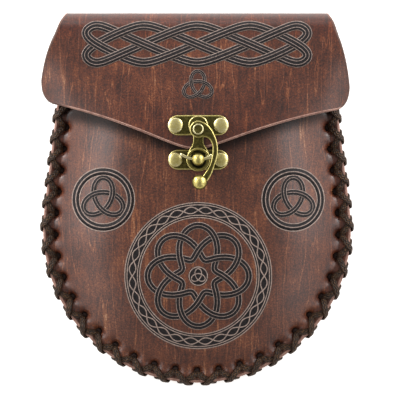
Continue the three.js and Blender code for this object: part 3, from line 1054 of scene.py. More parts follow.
@dataclass
class LeatherWork:
    """The pouch's two leather sheets: its front, and its back with the fold and the flap."""

    shop: Workshop
    pattern: LeatherPattern
    leather: Material
    edge: Material
    front_grid: tuple[int, int] = (170, 190)
    back_columns: int = 120
    flap_rows: int = 76
    fold_rows: int = 26
    back_rows: int = 100

    def _body_patch(self, radius: float, top: float, top_half_width: float) -> Placer:
        """Fills the U-shaped outline.

        Args:
            radius: The outline's radius round the bottom.
            top: The height of its top edge.
            top_half_width: Half the width of its top edge.

        Returns:
            A function from shares across and up to a point in the rim's plane.
        """
        p = self.pattern
        corner = radius * math.pi / 4
        full = p.rim_length(radius, p.mouth_y)

        def rim(run: float) -> Vector:
            """The outline's place at a run from the bottom."""
            return Vector((*p.rim_point(radius, run), 0.0))

        def side(sign: float) -> Side:
            """The outline's left or right side, from its lower corner to the top."""
            lower = rim(sign * full)
            upper = Vector((sign * top_half_width, top, 0.0))
            reach = full - corner
            whole = reach + (upper - lower).length

            def place(v: float) -> Vector:
                """The side's place for a share up it."""
                run = v * whole
                if run <= reach:
                    return rim(sign * (corner + run))
                return lower.lerp(upper, (run - reach) / max(whole - reach, 1e-6))

            return place

        def bottom(u: float) -> Vector:
            """The round bottom, from corner to corner."""
            return rim(lerp(-corner, corner, u))

        def mouth(u: float) -> Vector:
            """The straight top edge."""
            return Vector((lerp(-top_half_width, top_half_width, u), top, 0.0))

        return four_sided(bottom, mouth, side(-1.0), side(1.0))

    def _mark(self, bm: Mesh, tone: Callable[[Vector], float], shelter: float) -> None:
        """Marks how dark the colour is made on each point of a sheet, and where shade is painted near black.

        The shade is painted round the holes, for the dark of their pits, and below the flap's edge, as the
        flap's shadow.

        Args:
            bm: The sheet, in the pouch's own frame.
            tone: Gives how dark the colour is made, from 0 to 1.
            shelter: How strong the painted shadow below the flap's edge is.
        """
        p = self.pattern

        def grime(co: Vector) -> float:
            """How strong the painted shade is at a place."""
            near = p.from_hole(co.x, co.y) if co.z < 7 else 9.0
            below = shelter * (1 - smooth(p.flap_edge(co.x) - co.y, 1.5, 8.0))
            return max(1 - smooth(near, 0.9, 1.5), below)

        mark(bm, Mark.SHADE, lambda co: min(max(tone(co), 0.0), 1.0))
        mark(bm, Mark.DYE_AND_SHADE, grime)

    def _bead(self, name: str, place: Placer, columns: int, rows: int) -> None:
        """Rounds the cut edge of one sheet, dark brown down the flap's sides.

        Args:
            name: The piece's name.
            place: The sheet's surface.
            columns: Its cells across.
            rows: Its cells along.
        """
        bm = edge_bead(place, columns, rows, self.pattern.leather)
        corner_y = self.pattern.flap_corner[1]

        def grime(co: Vector) -> float:
            """How dark the edge is coloured at a place: on the flap's sides, above its corners."""
            return 0.75 * smooth(abs(co.x), 57.0, 64.0) if co.z > 6 and co.y > corner_y else 0.0

        mark(bm, Mark.DYE_AND_SHADE, grime)
        self.shop.piece(name, bm, [self.edge], "leather")

    def front(self) -> None:
        """Builds the domed front panel, puckered and punched round its rim."""
        p = self.pattern
        patch = self._body_patch(p.rim_radius, p.mouth_y, p.half_width(p.rim_radius, p.mouth_y))

        def place(u: float, v: float) -> Vector:
            """The outer face, for shares across and up."""
            flat = patch(toward_ends(u, 0.55), toward_ends(v, 0.45))
            return Vector((flat.x, flat.y, p.dome(flat.x, flat.y) + p.pucker(flat.x, flat.y)))

        def tone(co: Vector) -> float:
            """How dark the colour is made: darker toward the rim, and less so toward the bottom."""
            radius, _ = p.rim_place(co.x, co.y)
            return 0.7 * smooth(radius, 56.0, 68.0) * smooth(co.y, -75.0, 10.0)

        bm = laid_grid(*self.front_grid, place)
        self._mark(bm, tone, 0.85)
        punch(bm, p.hole_places(), p.hole_radius, lambda co: True)
        piece = self.shop.piece("front_leather", bm, [self.leather, self.edge], "leather")
        self.shop.thicken(piece, p.leather)
        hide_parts("front_panel")
        self._bead("front_raw_edge", place, *self.front_grid)

    def back_and_flap(self) -> None:
        """Builds the one sheet that is the back, the fold and the flap."""
        p = self.pattern
        flap_patch = self._flap_patch()
        back_patch = self._body_patch(p.rim_radius, p.fold_y, p.half_width(p.rim_radius, p.mouth_y))
        total = self.flap_rows + self.fold_rows + self.back_rows
        flap_end = self.flap_rows / total
        fold_end = (self.flap_rows + self.fold_rows) / total

        def place(u: float, v: float) -> Vector:
            """The outer face: up the flap, over the fold and down the back."""
            across = toward_ends(u, 0.4)
            if v <= flap_end:
                flat = flap_patch(across, v / flap_end)
                x, y = p.askew(flat.x, flat.y)
                return Vector((x, y, p.flap(x, y)))
            if v <= fold_end:
                turn = lerp(p.fold_lean, math.pi, (v - flap_end) / (fold_end - flap_end))
                y = p.fold_y + p.fold_radius * math.sin(turn)
                half = p.flap_side(p.flap_side_share(y))[0]
                if turn > math.pi / 2:
                    top = p.flap_side(p.flap_side_share(p.fold_y + p.fold_radius))[0]
                    half = lerp(p.half_width(p.rim_radius, p.mouth_y), top, math.sin(turn))
                x, y = p.askew(lerp(-half, half, across), y)
                z = p.fold_radius - p.face + p.fold_radius * math.cos(turn)
                return Vector((x, y, z))
            flat = back_patch(across, toward_ends(1 - (v - fold_end) / (1 - fold_end), 0.3))
            return Vector((flat.x, flat.y, -p.face - 0.6 * p.pucker(flat.x, flat.y)))

        def tone(co: Vector) -> float:
            """How dark the colour is made: darker toward the rim and the flap's point, and over the fold as
            painted shade.
            """
            if co.z < 4:
                radius, _ = p.rim_place(co.x, co.y)
                return 0.15 + 0.6 * smooth(radius, 54.0, 68.0)
            over_edge = 1 - smooth(co.y - p.flap_edge(co.x), 0.0, 25.0)
            near_middle = 1 - smooth(abs(co.x), 15.0, 60.0)
            # The 0.6 over the fold is painted shade; the 0.4 over the flap and the rise toward its point are
            # its dye.
            return 0.4 + 0.6 * smooth(co.y, 84.0, 92.0) + 0.45 * over_edge * near_middle

        bm = laid_grid(self.back_columns, total, place)
        self._mark(bm, tone, 0.0)
        punch(bm, p.hole_places(), p.hole_radius, lambda co: co.z < 2)
        piece = self.shop.piece("back_and_flap_leather", bm, [self.leather, self.edge], "leather")
        self.shop.thicken(piece, p.leather)
        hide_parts("back_panel_flap")
        self._bead("flap_raw_edge", place, self.back_columns, total)

    def _flap_patch(self) -> Placer:
        """Fills the flap's outline between the middles of its rounded corners."""
        p = self.pattern
        corner_x, corner_y = p.flap_corner
        fold_share = p.flap_side_share(p.flap_start_y)
        top_half = p.flap_side(fold_share)[0]

        def arc(sign: float, share: float) -> Vector:
            """The rounded corner, from the flap's edge to its side."""
            low, middle, high = (1 - share) ** 2, 2 * share * (1 - share), share * share
            x = corner_x * low + p.flap_half_width * (middle + high)
            y = corner_y * low + 57.6 * middle + p.flap_widest_y * high
            return Vector((sign * x, y, 0.0))

        def side(sign: float) -> Side:
            """The flap's left or right side."""

            def place(v: float) -> Vector:
                """The side's place for a share up it, from the middle of the corner."""
                if v < 0.2:
                    return arc(sign, 0.5 + 2.5 * v)
                x, y = p.flap_side(lerp(1.0, fold_share, (v - 0.2) / 0.8))
                return Vector((sign * x, y, 0.0))

            return place

        def bottom(u: float) -> Vector:
            """The flap's lower edge, between the middles of its corners."""
            if u < 0.06:
                return arc(-1.0, 0.5 * (1 - u / 0.06))
            if u > 0.94:
                return arc(1.0, 0.5 * (u - 0.94) / 0.06)
            x = lerp(-corner_x, corner_x, (u - 0.06) / 0.88)
            return Vector((x, p.flap_edge(x), 0.0))

        def top_edge(u: float) -> Vector:
            """The line where the flap runs into the fold."""
            return Vector((lerp(-top_half, top_half, u), p.flap_start_y, 0.0))

        return four_sided(bottom, top_edge, side(-1.0), side(1.0))


@dataclass
class BeltLoop:
    """The strap on the back that a belt goes through, with its four rivets."""

    shop: Workshop
    pattern: LeatherPattern
    leather: Material
    edge: Material
    brass: Material
    width: float = 36.0
    thickness: float = 2.0
    bottom_y: float = 8.0
    top_y: float = 87.0
    tab: float = 11.0
    ramp: float = 7.0
    clearance: float = 5.0
    rivet_offset: float = 11.0
    contact_y: float = -70.8
    lacing_face: float = 3.95
    corner: float = 3.0
    grid: tuple[int, int] = (24, 120)

    @property
    def _under(self) -> float:
        """The height of the strap's outer face where it lies on the back."""
        return -self.pattern.face - self.pattern.gap - self.thickness

    def _outer(self, y: float) -> float:
        """The height of the strap's outer face.

        Args:
            y: Up the pouch.

        Returns:
            Its height, which is negative behind the pouch.
        """
        start = self.bottom_y + self.tab + self.ramp
        end = self.top_y - self.tab - self.ramp
        depth = self.pattern.face + self.clearance + self.thickness
        slope = (depth - self.lacing_face) / (start - self.contact_y)
        seat = self._under
        flat = -self.lacing_face - slope * (y - self.contact_y)
        if y < start:
            return lerp(seat, flat, smooth(y, self.bottom_y + self.tab - 1, start - 0.5))
        if y > end:
            return lerp(flat, seat, smooth(y, end + 0.5, self.top_y - self.tab + 1))
        return flat

    def build(self) -> None:
        """Builds the strap and its rivets."""

        def place(u: float, v: float) -> Vector:
            """The strap's outer face, for shares across and down, with rounded corners."""
            y = lerp(self.top_y, self.bottom_y, v)
            corner = self.corner
            inset = max(corner - (y - self.bottom_y), corner - (self.top_y - y), 0.0)
            half = self.width / 2 - (corner - math.sqrt(max(corner**2 - inset**2, 0.0)))
            return Vector((lerp(-half, half, u), y, self._outer(y)))

        bm = laid_grid(*self.grid, place)
        half = self.width / 2
        mark(bm, Mark.SHADE, lambda co: 0.2 + 0.4 * smooth(abs(co.x), half - 6, half))
        strap = self.shop.piece("belt_loop_strap", bm, [self.leather, self.edge], "leather")
        self.shop.thicken(strap, self.thickness)
        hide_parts("belt_loop")
        bead = edge_bead(place, *self.grid, self.thickness)
        self.shop.piece("belt_loop_raw_edge", bead, [self.edge], "leather")
        rows = {"lower": self.bottom_y + self.tab / 2, "upper": self.top_y - self.tab / 2}
        for row, y in rows.items():
            for side, sign in SIDES.items():
                self._rivet(f"loop_rivet_{row}_{side}", sign * self.rivet_offset, y)

    def _rivet(self, node: str, x: float, y: float) -> None:
        """Builds one rivet with a low round head on each side.

        Args:
            node: The node it stands for.
            x: Its place across.
            y: Its place up the pouch.
        """
        head = self._under - self.pattern.gap
        inside = self.pattern.gap / 2
        profile = [
            (0.0, head - 0.7),
            (1.2, head - 0.66),
            (1.9, head - 0.45),
            (2.2, head - 0.1),
            (2.2, head),
            (1.2, head),
            (1.2, inside),
            (2.2, inside),
            (2.2, inside + 0.3),
            (1.6, inside + 0.65),
            (0.0, inside + 0.7),
        ]
        bm = moved(turned(profile, 32), x, y)
        mark_wear_and_shade(bm, 0.5)
        piece = self.shop.piece(f"{node}_brass", bm, [self.brass], "brass")
        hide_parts(node)


# ------------------------------------------------------------------ lacing


@dataclass(frozen=True)
class LaceStation:
    """A place on a strand's way from its front hole, over the rim, to the next hole on the back."""

    radius: float
    offset: float  # from the crossing, in hole pitches
    height: float
    turn: float  # of the lace's flat from facing the front, in degrees

    def numbers(self) -> Vector:
        """The station as one vector, for blending."""
        return Vector((self.radius, self.offset, self.height, self.turn))


@dataclass
class Lacing:
    """Braided lace wound over the rim both ways, so that its strands cross between the holes."""

    shop: Workshop
    pattern: LeatherPattern
    lace: Material
    # The finish of the lace inside the holes, coloured near black there as painted shade.
    painted_shade: Material
    plug: Point = (1.7, 1.8)
    width: float = 2.7
    thickness: float = 0.9
    rows: int = 48
    columns: int = 14
    length_mm: float = 21.0
    stations: tuple[LaceStation, ...] = (
        LaceStation(66.2, -0.475, -0.3, 0.0),
        LaceStation(66.3, -0.47, 1.2, 0.0),
        LaceStation(66.9, -0.43, 2.3, 0.0),
        LaceStation(67.8, -0.34, 2.8, 0.0),
        LaceStation(68.9, -0.20, 2.85, 8.0),
        LaceStation(69.9, -0.05, 2.5, 30.0),
        LaceStation(71.0, 0.08, 1.7, 62.0),
        LaceStation(71.5, 0.18, 0.5, 90.0),
        LaceStation(71.4, 0.22, -1.0, 110.0),
        LaceStation(70.2, 0.28, -2.5, 150.0),
        LaceStation(68.6, 0.35, -3.0, 180.0),
        LaceStation(67.2, 0.42, -3.05, 180.0),
        LaceStation(66.4, 0.46, -2.6, 180.0),
        LaceStation(66.1, 0.47, -1.5, 180.0),
        LaceStation(65.9, 0.475, 0.3, 180.0),
    )

    def build(self) -> None:
        """Builds every strand and joins them in two pieces, the under and the over lace."""
        runs = self.pattern.hole_runs()
        for layer in Layer:
            strands = []
            for first, second in zip(runs, runs[1:]):
                middle = (first + second) / 2
                down = math.copysign(1.0, middle)
                way = -down if layer is Layer.OVER else down
                strands.append(self._strand(middle, way, layer))
            piece = self.shop.piece(f"lace_{layer.value}", joined(strands), [self.lace], "lace")
            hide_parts("edge_lacing")
        self._fill_holes()

    def _fill_holes(self) -> None:
        """Fills each hole with the turns of lace that pass through it, coloured near black as the hole's
        painted shade.
        """
        radius, depth = self.plug
        plugs = []
        for place in self.pattern.hole_places():
            bm = bmesh.new()
            bmesh.ops.create_cone(
                bm, cap_ends=True, segments=16, radius1=radius, radius2=radius, depth=depth
            )
            # Fully marked: the plug is painted as the hole's shade.
            mark(bm, Mark.DYE_AND_SHADE, lambda co: 1.0)
            plugs.append(moved(bm, *place))
        self.shop.piece("lace_in_holes", joined(plugs), [self.painted_shade], "lace")

    def _strand(self, crossing: float, way: float, layer: Layer) -> Mesh:
        """Builds one strand.

        Args:
            crossing: The run of its crossing along the hole line.
            way: 1 if it goes toward the pouch's right, -1 if toward its left.
            layer: Whether it lies outside or inside the strand that it crosses.

        Returns:
            The strand's closed mesh.
        """
        p = self.pattern
        points = [station.numbers() for station in self.stations]
        lifted = 0.95 * self.thickness if layer is Layer.OVER else 0.0

        def sample(share: float) -> tuple[Vector, Vector, float]:
            """The strand's middle, the way its flat faces and its share of the full width."""
            radius, offset, height, turn = through(points, share)
            run = crossing + way * offset * p.hole_pitch
            x, y = p.rim_point(p.hole_line_radius, run)
            outward = p.rim_out(p.hole_line_radius, run)
            angle = math.radians(turn)
            facing = outward * math.sin(angle) + Vector((0, 0, math.cos(angle)))
            place = Vector((x, y, height)) + outward * (radius - p.hole_line_radius)
            lift = lifted * smooth(0.33 - abs(offset + 0.02), 0.0, 0.22)
            narrow = lerp(0.5, 1.0, smooth(0.5 - abs(offset), 0.0, 0.1))
            return place + facing * lift, facing, narrow

        def place(u: float, v: float) -> Vector:
            """The strand's surface, for a share round it and a share along it."""
            at, facing, narrow = sample(v)
            ahead = sample(min(v + 0.01, 1.0))[0] - sample(max(v - 0.01, 0.0))[0]
            side = ahead.cross(facing).normalized()
            facing = side.cross(ahead).normalized()
            angle = 2 * math.pi * u
            flat, high = boxed(math.cos(angle), 0.8), boxed(math.sin(angle), 0.7)
            return at + side * (flat * self.width / 2 * narrow) + facing * (high * self.thickness / 2)

        bm = laid_grid(self.columns, self.rows, place)
        uv = bm.loops.layers.uv[UV_MAP]
        for face in bm.faces:
            for loop in face.loops:
                loop[uv].uv.y *= self.length_mm
        close_tube(bm)
        return bm


def through(points: Sequence[Vector], share: float) -> Vector:
    """Blends smoothly through a row of points.

    Args:
        points: The points, one after another.
        share: How far along the row, from 0 to 1.

    Returns:
        The blended point.
    """
    last = len(points) - 1
    at = min(max(share, 0.0), 1.0) * last
    k = min(int(at), last - 1)
    t = at - k
    before, a, b, after = (points[min(max(i, 0), last)] for i in (k - 1, k, k + 1, k + 2))
    bend = (before * 2 - a * 5 + b * 4 - after) * t * t + (a * 3 - before - b * 3 + after) * t**3
    return (a * 2 + (b - before) * t + bend) * 0.5


def close_tube(bm: Mesh) -> None:
    """Welds a rolled-up grid along its seam, caps its ends and turns its faces outward."""
    bmesh.ops.remove_doubles(bm, verts=bm.verts, dist=WELD)
    bmesh.ops.holes_fill(bm, edges=[e for e in bm.edges if e.is_boundary], sides=0)
    bmesh.ops.recalc_face_normals(bm, faces=bm.faces)


# ------------------------------------------------------------------ metalwork helpers


def turned(profile: Sequence[Point], steps: int = 48) -> Mesh:
    """Spins a profile of radius and height round z.

    Args:
        profile: The points, from axis to axis or closed on itself.
        steps: Faces round the axis.

    Returns:
        The closed mesh.
    """
    bm = bmesh.new()
    verts = [bm.verts.new((r, 0.0, z)) for r, z in profile]
    edges = [bm.edges.new(pair) for pair in zip(verts, verts[1:])]
    if profile[0][0] > 0 and profile[-1][0] > 0:
        edges.append(bm.edges.new((verts[-1], verts[0])))
    bmesh.ops.spin(
        bm,
        geom=verts + edges,
        cent=(0, 0, 0),
        axis=(0, 0, 1),
        angle=2 * math.pi,
        steps=steps,
        use_merge=True,
    )
    bmesh.ops.remove_doubles(bm, verts=bm.verts, dist=WELD)
    bmesh.ops.recalc_face_normals(bm, faces=bm.faces)
    return bm


def plate(outline: Sequence[Point], bottom: float, top: float, rounding: float) -> Mesh:
    """Raises an outline to a plate with rounded edges.

    Args:
        outline: Its points, once round.
        bottom: The height of its underside.
        top: The height of its top.
        rounding: The edges' rounding.

    Returns:
        The closed mesh.
    """
    bm = bmesh.new()
    face = bm.faces.new([bm.verts.new((x, y, bottom)) for x, y in outline])
    raised = bmesh.ops.extrude_face_region(bm, geom=[face])
    verts = [g for g in raised["geom"] if isinstance(g, bmesh.types.BMVert)]
    bmesh.ops.translate(bm, verts=verts, vec=(0, 0, top - bottom))
    bmesh.ops.recalc_face_normals(bm, faces=bm.faces)
    rims = [e for e in bm.edges if len({round(v.co.z, 5) for v in e.verts}) == 1]
    bmesh.ops.bevel(bm, geom=rims, offset=rounding, segments=3, profile=0.5, affect="EDGES", material=-1)
    flats = [f for f in bm.faces if abs(f.normal.z) > 0.999]
    bmesh.ops.inset_region(bm, faces=flats, thickness=0.3, use_even_offset=True)
    return bm


def stadium(middle: Point, length: float, height: float, steps: int = 16) -> list[Point]:
    """The outline of a bar with round ends.

    Args:
        middle: Its middle.
        length: Its length across.
        height: Its height up the pouch.
        steps: Steps round each end.

    Returns:
        The points, once round.
    """
    points = []
    for sign in (1.0, -1.0):
        for angle in spread(-math.pi / 2, math.pi / 2, steps):
            reach = (length - height) / 2 + height / 2 * math.cos(angle)
            points.append((middle[0] + sign * reach, middle[1] + sign * height / 2 * math.sin(angle)))
    return points


def joined(parts: Iterable[Mesh]) -> Mesh:
    """Puts several closed meshes in one.

    Args:
        parts: The meshes, which are freed.

    Returns:
        The one mesh.
    """
    whole = bmesh.new()
    for part in parts:
        mesh = as_mesh("part", part)
        whole.from_mesh(mesh)
        bpy.data.meshes.remove(mesh)
    return whole


def moved(bm: Mesh, x: float, y: float, z: float = 0.0) -> Mesh:
    """Moves a mesh and returns it."""
    bmesh.ops.translate(bm, verts=bm.verts, vec=(x, y, z))
    return bm


def ball(radius: float) -> Mesh:
    """A ball round the origin."""
    bm = bmesh.new()
    bmesh.ops.create_uvsphere(bm, u_segments=40, v_segments=24, radius=radius)
    return bm


def rod(route: Callable[[float], Vector], half: Callable[[float], Point], rows: int) -> Mesh:
    """Runs a rounded bar along a route that keeps one height.

    Args:
        route: The middle of the bar for a share along it.
        half: Half its width and half its thickness there.
        rows: Faces along it.

    Returns:
        The closed mesh.
    """

    def place(u: float, v: float) -> Vector:
        """The bar's surface, for a share round it and a share along it."""
        at = route(v)
        ahead = route(min(v + 0.01, 1.0)) - route(max(v - 0.01, 0.0))
        side = ahead.cross(Vector((0, 0, 1))).normalized()
        wide, high = half(v)
        angle = 2 * math.pi * u
        flat, tall = boxed(math.cos(angle), 0.6), boxed(math.sin(angle), 0.6)
        return at + side * (flat * wide) + Vector((0, 0, tall * high))

    bm = laid_grid(20, rows, place)
    close_tube(bm)
    return bm


def drilled(bm: Mesh, drill: Mesh) -> Mesh:
    """Cuts one closed mesh out of another.

    Args:
        bm: The mesh to cut, which is freed.
        drill: The space to cut out of it, which is freed.

    Returns:
        What is left, closed.
    """
    head, cutter = (placed(name, as_mesh(name, part)) for name, part in (("head", bm), ("drill", drill)))
    cut = head.modifiers.new("hole", "BOOLEAN")
    cut.operation = "DIFFERENCE"
    cut.object = cutter
    cut.solver = "EXACT"
    left = bmesh.new()
    left.from_object(head, bpy.context.evaluated_depsgraph_get())
    for item in (head, cutter):
        mesh = item.data
        bpy.data.objects.remove(item)
        bpy.data.meshes.remove(mesh)
    return left


def mark_wear_and_shade(bm: Mesh, rubbed: float) -> None:
    """Marks how bright the brass is rubbed at each point: most where it stands out of its neighbours. Shade
    is painted too: the brass is made darker as it turns away from the front.

    Args:
        bm: The brass.
        rubbed: How bright it is on its flats, from 0 to 1; below 0 it is painted dark as shade.
    """
    layer = bm.verts.layers.float.new(Mark.WEAR_AND_SHADE.value)
    bm.normal_update()
    # Painted shade: darker as the brass turns away from the front.
    shaded = max(rubbed, 0.0) + 0.15
    for vert in bm.verts:
        bends = [
            -(edge.other_vert(vert).co - vert.co).normalized().dot(vert.normal) for edge in vert.link_edges
        ]
        away = shaded * (1 - smooth(vert.normal.z, 0.1, 0.9))
        vert[layer] = min(max(rubbed + 1.7 * (max(bends) + min(bends)) - away, -0.4), 0.9)


# ------------------------------------------------------------------ clasp


@dataclass
class Clasp:
    """The swing clasp: hasp plate, catch plate with its post, swing arm and rivets."""

    shop: Workshop
    pattern: LeatherPattern
    brass: Material
    pivot: Point = PIVOT[:2]
    plate_size: Point = (27.6, 9.2)
    plate_thickness: float = 1.2
    plate_above_pivot: float = 1.9
    boss_size: Point = (9.0, 8.6)
    boss_rise: float = 1.45
    post_below_pivot: float = 13.7
    ring: Point = (4.2, 5.4)
    neck_half_width: float = 2.3
    catch_thickness: float = 1.4
    collar: Point = (3.2, 1.8)
    ball_radius: float = 2.9
    arm_thickness: float = 1.6
    eye_radius: float = 3.9
    thumb_radius: float = 3.4
    thumb: Point = (0.6, 24.0)
    spur_radius: float = 0.65
    spur_clearance: float = 0.35
    rivet_offset: float = 10.4
    gap: float = 0.3
    arm_outer: tuple[Point, ...] = (
        (1.7, -3.5), (3.4, -2.7), (5.0, -1.3), (6.4, 0.6), (7.6, 3.0), (8.5, 5.6),
        (8.9, 8.2), (8.9, 11.0), (8.4, 13.6), (7.6, 15.9), (6.8, 18.4), (5.9, 20.6),
        (4.7, 22.7), (3.2, 24.5),
    )
    arm_inner: tuple[Point, ...] = (
        (0.9, 22.6), (2.2, 21.0), (3.5, 19.1), (4.8, 17.0), (5.6, 14.8), (6.2, 12.4),
        (6.5, 9.8), (6.4, 7.6), (5.8, 5.7), (4.7, 4.3), (3.4, 3.7), (2.0, 3.45),
    )

    @property
    def plate_bottom(self) -> float:
        """The height of the hasp plate's underside."""
        p = self.pattern
        return p.face + p.dome_rise + p.flap_clearance + p.leather + self.gap

    @property
    def plate_top(self) -> float:
        """The height of the hasp plate's top."""
        return self.plate_bottom + self.plate_thickness

    @property
    def arm_bottom(self) -> float:
        """The height of the arm's underside."""
        return self.plate_top + self.boss_rise + self.gap

    @property
    def arm_middle(self) -> float:
        """The height of the arm's middle plane."""
        return self.arm_bottom + self.arm_thickness / 2

    @property
    def catch_bottom(self) -> float:
        """The height of the catch plate's underside."""
        return self.pattern.face + self.pattern.dome_rise + self.gap

    @property
    def post(self) -> Point:
        """The middle of the post."""
        return self.pivot[0], self.pivot[1] - self.post_below_pivot

    def build(self) -> None:
        """Builds every piece of the clasp."""
        self._hasp()
        self._catch()
        self._arm()
        self._rivets()

    def _join(self, node: str, parts: Sequence[Mesh], rubbed: Sequence[float], body: str = BODY) -> None:
        """Joins the parts of one brass piece, rubs them and hides the node that they stand for.

        Args:
            node: The node.
            parts: The parts' meshes, which are freed.
            rubbed: How bright each part is rubbed on its flats; below 0 the part is painted dark as shade.
            body: The body they ride on.
        """
        for part, bright in zip(parts, rubbed):
            mark_wear_and_shade(part, bright)
        piece = self.shop.piece(f"{node}_brass", joined(parts), [self.brass], "brass", body)
        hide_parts(node)

    def _hasp(self) -> None:
        """Builds the upper plate with its boss, neck and ring."""
        x, y = self.pivot
        post_y = self.post[1]
        inner, outer = self.ring
        middle = (x, y + self.plate_above_pivot)
        half = self.neck_half_width
        flare = [
            (lerp(half, outer - 0.5, (1 - math.cos(math.pi * s)) / 2), post_y + lerp(8.4, 1.8, s))
            for s in spread(0, 1, 8)
        ]
        right = [(half, middle[1]), *flare]
        neck = [(x + dx, py) for dx, py in right] + [(x - dx, py) for dx, py in reversed(right)]
        low, top = self.plate_bottom, self.plate_top
        ring = turned(ring_profile(inner, outer, low, top + 0.15, 0.35))
        parts = [
            plate(stadium(middle, *self.plate_size), low, top, 0.5),
            plate(stadium(middle, *self.boss_size), top - 0.5, top + self.boss_rise, 0.5),
            plate_with_hole(neck, (self.post[0], post_y), inner + 0.1, low + 0.02, top - 0.02),
            moved(ring, self.post[0], post_y),
        ]
        self._join("hasp_plate", parts, (0.05, 0.05, 0.05, 0.0))

    def _catch(self) -> None:
        """Builds the lower plate with its collar and ball-headed post."""
        x, y = self.post
        low = self.catch_bottom
        top = low + self.catch_thickness
        radius, rise = self.collar
        collar = [
            (0.0, top - 0.6),
            (4.7, top - 0.6),
            (4.7, top + 0.02),
            (radius + 0.1, top + 0.12),
            (radius, top + 0.3),
            (radius - 0.9, top + 0.7),
            (1.9, top + rise - 0.4),
            (1.6, top + rise),
            (1.6, self.arm_middle - 1.6),
            (0.0, self.arm_middle - 1.6),
        ]
        parts = [
            plate(stadium(self.post, *self.plate_size), low, top, 0.5),
            moved(turned(collar, 40), x, y),
            moved(self._drilled_ball(), x, y, self.arm_middle),
        ]
        # The collar's -0.8 paints it near black, as the shade in the ring's hole.
        self._join("catch_plate", parts, (0.05, -0.8, 0.24))

    def _drilled_ball(self) -> Mesh:
        """Builds the post's head with the hole that the spur goes through."""
        reach = self.post_below_pivot
        radius = self.spur_radius + self.spur_clearance

        def route(share: float) -> Vector:
            """The middle of the hole, which is curved as the spur is."""
            angle = math.radians(lerp(-16, 16, share))
            return Vector((-reach * math.sin(angle), reach - reach * math.cos(angle), 0.0))

        return drilled(ball(self.ball_radius), rod(route, lambda s: (radius, radius), 12))

    def _arm_outline(self) -> list[Point]:
        """The arm's outline: out along its outer edge, back along its inner one and round its eye."""
        x, y = self.pivot
        edges = []
        for points in (self.arm_outer, self.arm_inner):
            row = [Vector((right, down, 0.0)) for right, down in points]
            edges += [through(row, share) for share in spread(0, 1, 2 * len(row))]
        outline = [(x + spot.x, y - spot.y) for spot in edges]
        for angle in spread(-68, -287, 30):
            turn = math.radians(angle)
            outline.append((x + self.eye_radius * math.cos(turn), y + self.eye_radius * math.sin(turn)))
        return outline

    def _arm(self) -> None:
        """Builds the swing arm with its eye, spur and thumb ball."""
        x, y = self.pivot
        reach = self.post_below_pivot
        low, top = self.arm_bottom, self.arm_bottom + self.arm_thickness

        def spur(share: float) -> Vector:
            """The spur's middle: an arc round the pivot, through the post and on to the tip."""
            angle = math.radians(lerp(-28, 37, share))
            return Vector((x - reach * math.sin(angle), y - reach * math.cos(angle), self.arm_middle))

        def spur_half(share: float) -> Point:
            """Half the spur's width and thickness: wide at its root, round at its tip."""
            near_tip = max(share - 0.93, 0.0) / 0.07
            radius = self.spur_radius * math.sqrt(max(1 - near_tip**2, 0.02))
            swell = lerp(1.9, 1.0, smooth(share, 0.0, 0.2))
            return radius * swell, radius

        parts = [
            plate(self._arm_outline(), low, top, 0.45),
            rod(spur, spur_half, 40),
            moved(ball(self.thumb_radius), x + self.thumb[0], y - self.thumb[1], self.arm_middle),
        ]
        self._join("swing_arm", parts, (0.05, 0.45, 0.25), ARM_BODY)

    def _rivets(self) -> None:
        """Builds the pivot rivet and the four domed rivets."""
        p = self.pattern
        x, y = self.pivot
        arm_top = self.arm_bottom + self.arm_thickness
        under_flap = p.flap(x, y) - p.leather - self.gap
        low = arm_top + self.gap / 2
        head = [
            (0.0, low + 0.78),
            (1.0, low + 0.78),
            (1.6, low + 0.78),
            (1.8, low + 0.78),
            (1.95, low + 0.97),
            (2.3, low + 0.97),
            (2.5, low + 0.7),
            (2.5, low + 0.3),
        ]
        self._rivet("pivot_rivet", self.pivot, head, low, under_flap, 0.1)
        post_x, post_y = self.post
        plate_y = y + self.plate_above_pivot
        catch_top = self.catch_bottom + self.catch_thickness
        for side, sign in SIDES.items():
            hasp = (x + sign * self.rivet_offset, plate_y)
            caught = (post_x + sign * self.rivet_offset, post_y)
            tail = p.flap(*hasp) - p.leather - self.gap
            low = self.plate_top + 0.02
            self._rivet(f"hasp_rivet_{side}", hasp, dome_profile(3.45, 1.15, low), low, tail, 0.5)
            tail = p.dome(*caught) - p.leather - self.gap
            low = catch_top + 0.02
            self._rivet(f"catch_rivet_{side}", caught, dome_profile(3.3, 1.3, low), low, tail, 0.45)

    def _rivet(
        self, node: str, place: Point, head: Sequence[Point], low: float, tail: float, rubbed: float
    ) -> None:
        """Builds one rivet.

        Args:
            node: The node it stands for.
            place: Its middle.
            head: The head's profile, from its top to its rim.
            low: The height of the underside of its head.
            tail: The height of the top of its tail.
            rubbed: How bright its head is rubbed.
        """
        profile = [
            *head,
            (head[-1][0], low),
            (1.2, low),
            (1.2, tail),
            (2.2, tail),
            (2.2, tail - 0.7),
            (0.0, tail - 0.7),
        ]
        self._join(node, [moved(turned(profile), *place)], (rubbed,))


def dome_profile(radius: float, height: float, low: float) -> list[Point]:
    """The profile of a low domed head.

    Args:
        radius: Its radius.
        height: Its height.
        low: The height that it stands on.

    Returns:
        The points from its top to its rim.
    """
    turns = spread(math.pi / 2, 0.0, 12)
    return [
        (radius * math.cos(a) if a < math.pi / 2 else 0.0, low + 0.18 + (height - 0.18) * math.sin(a))
        for a in turns
    ]


def ring_profile(inner: float, outer: float, low: float, top: float, rounding: float) -> list[Point]:
    """The closed section of a flat ring with rounded edges.

    Args:
        inner: Its inner radius.
        outer: Its outer radius.
        low: The height of its underside.
        top: The height of its top.
        rounding: The edges' rounding.

    Returns:
        The points, once round.
    """
    corners = (
        (outer - rounding, low + rounding, -90),
        (outer - rounding, top - rounding, 0),
        (inner + rounding, top - rounding, 90),
        (inner + rounding, low + rounding, 180),
    )
    points = []
    for r, z, start in corners:
        for angle in spread(start, start + 90, 3):
            turn = math.radians(angle)
            points.append((r + rounding * math.cos(turn), z + rounding * math.sin(turn)))
    return points


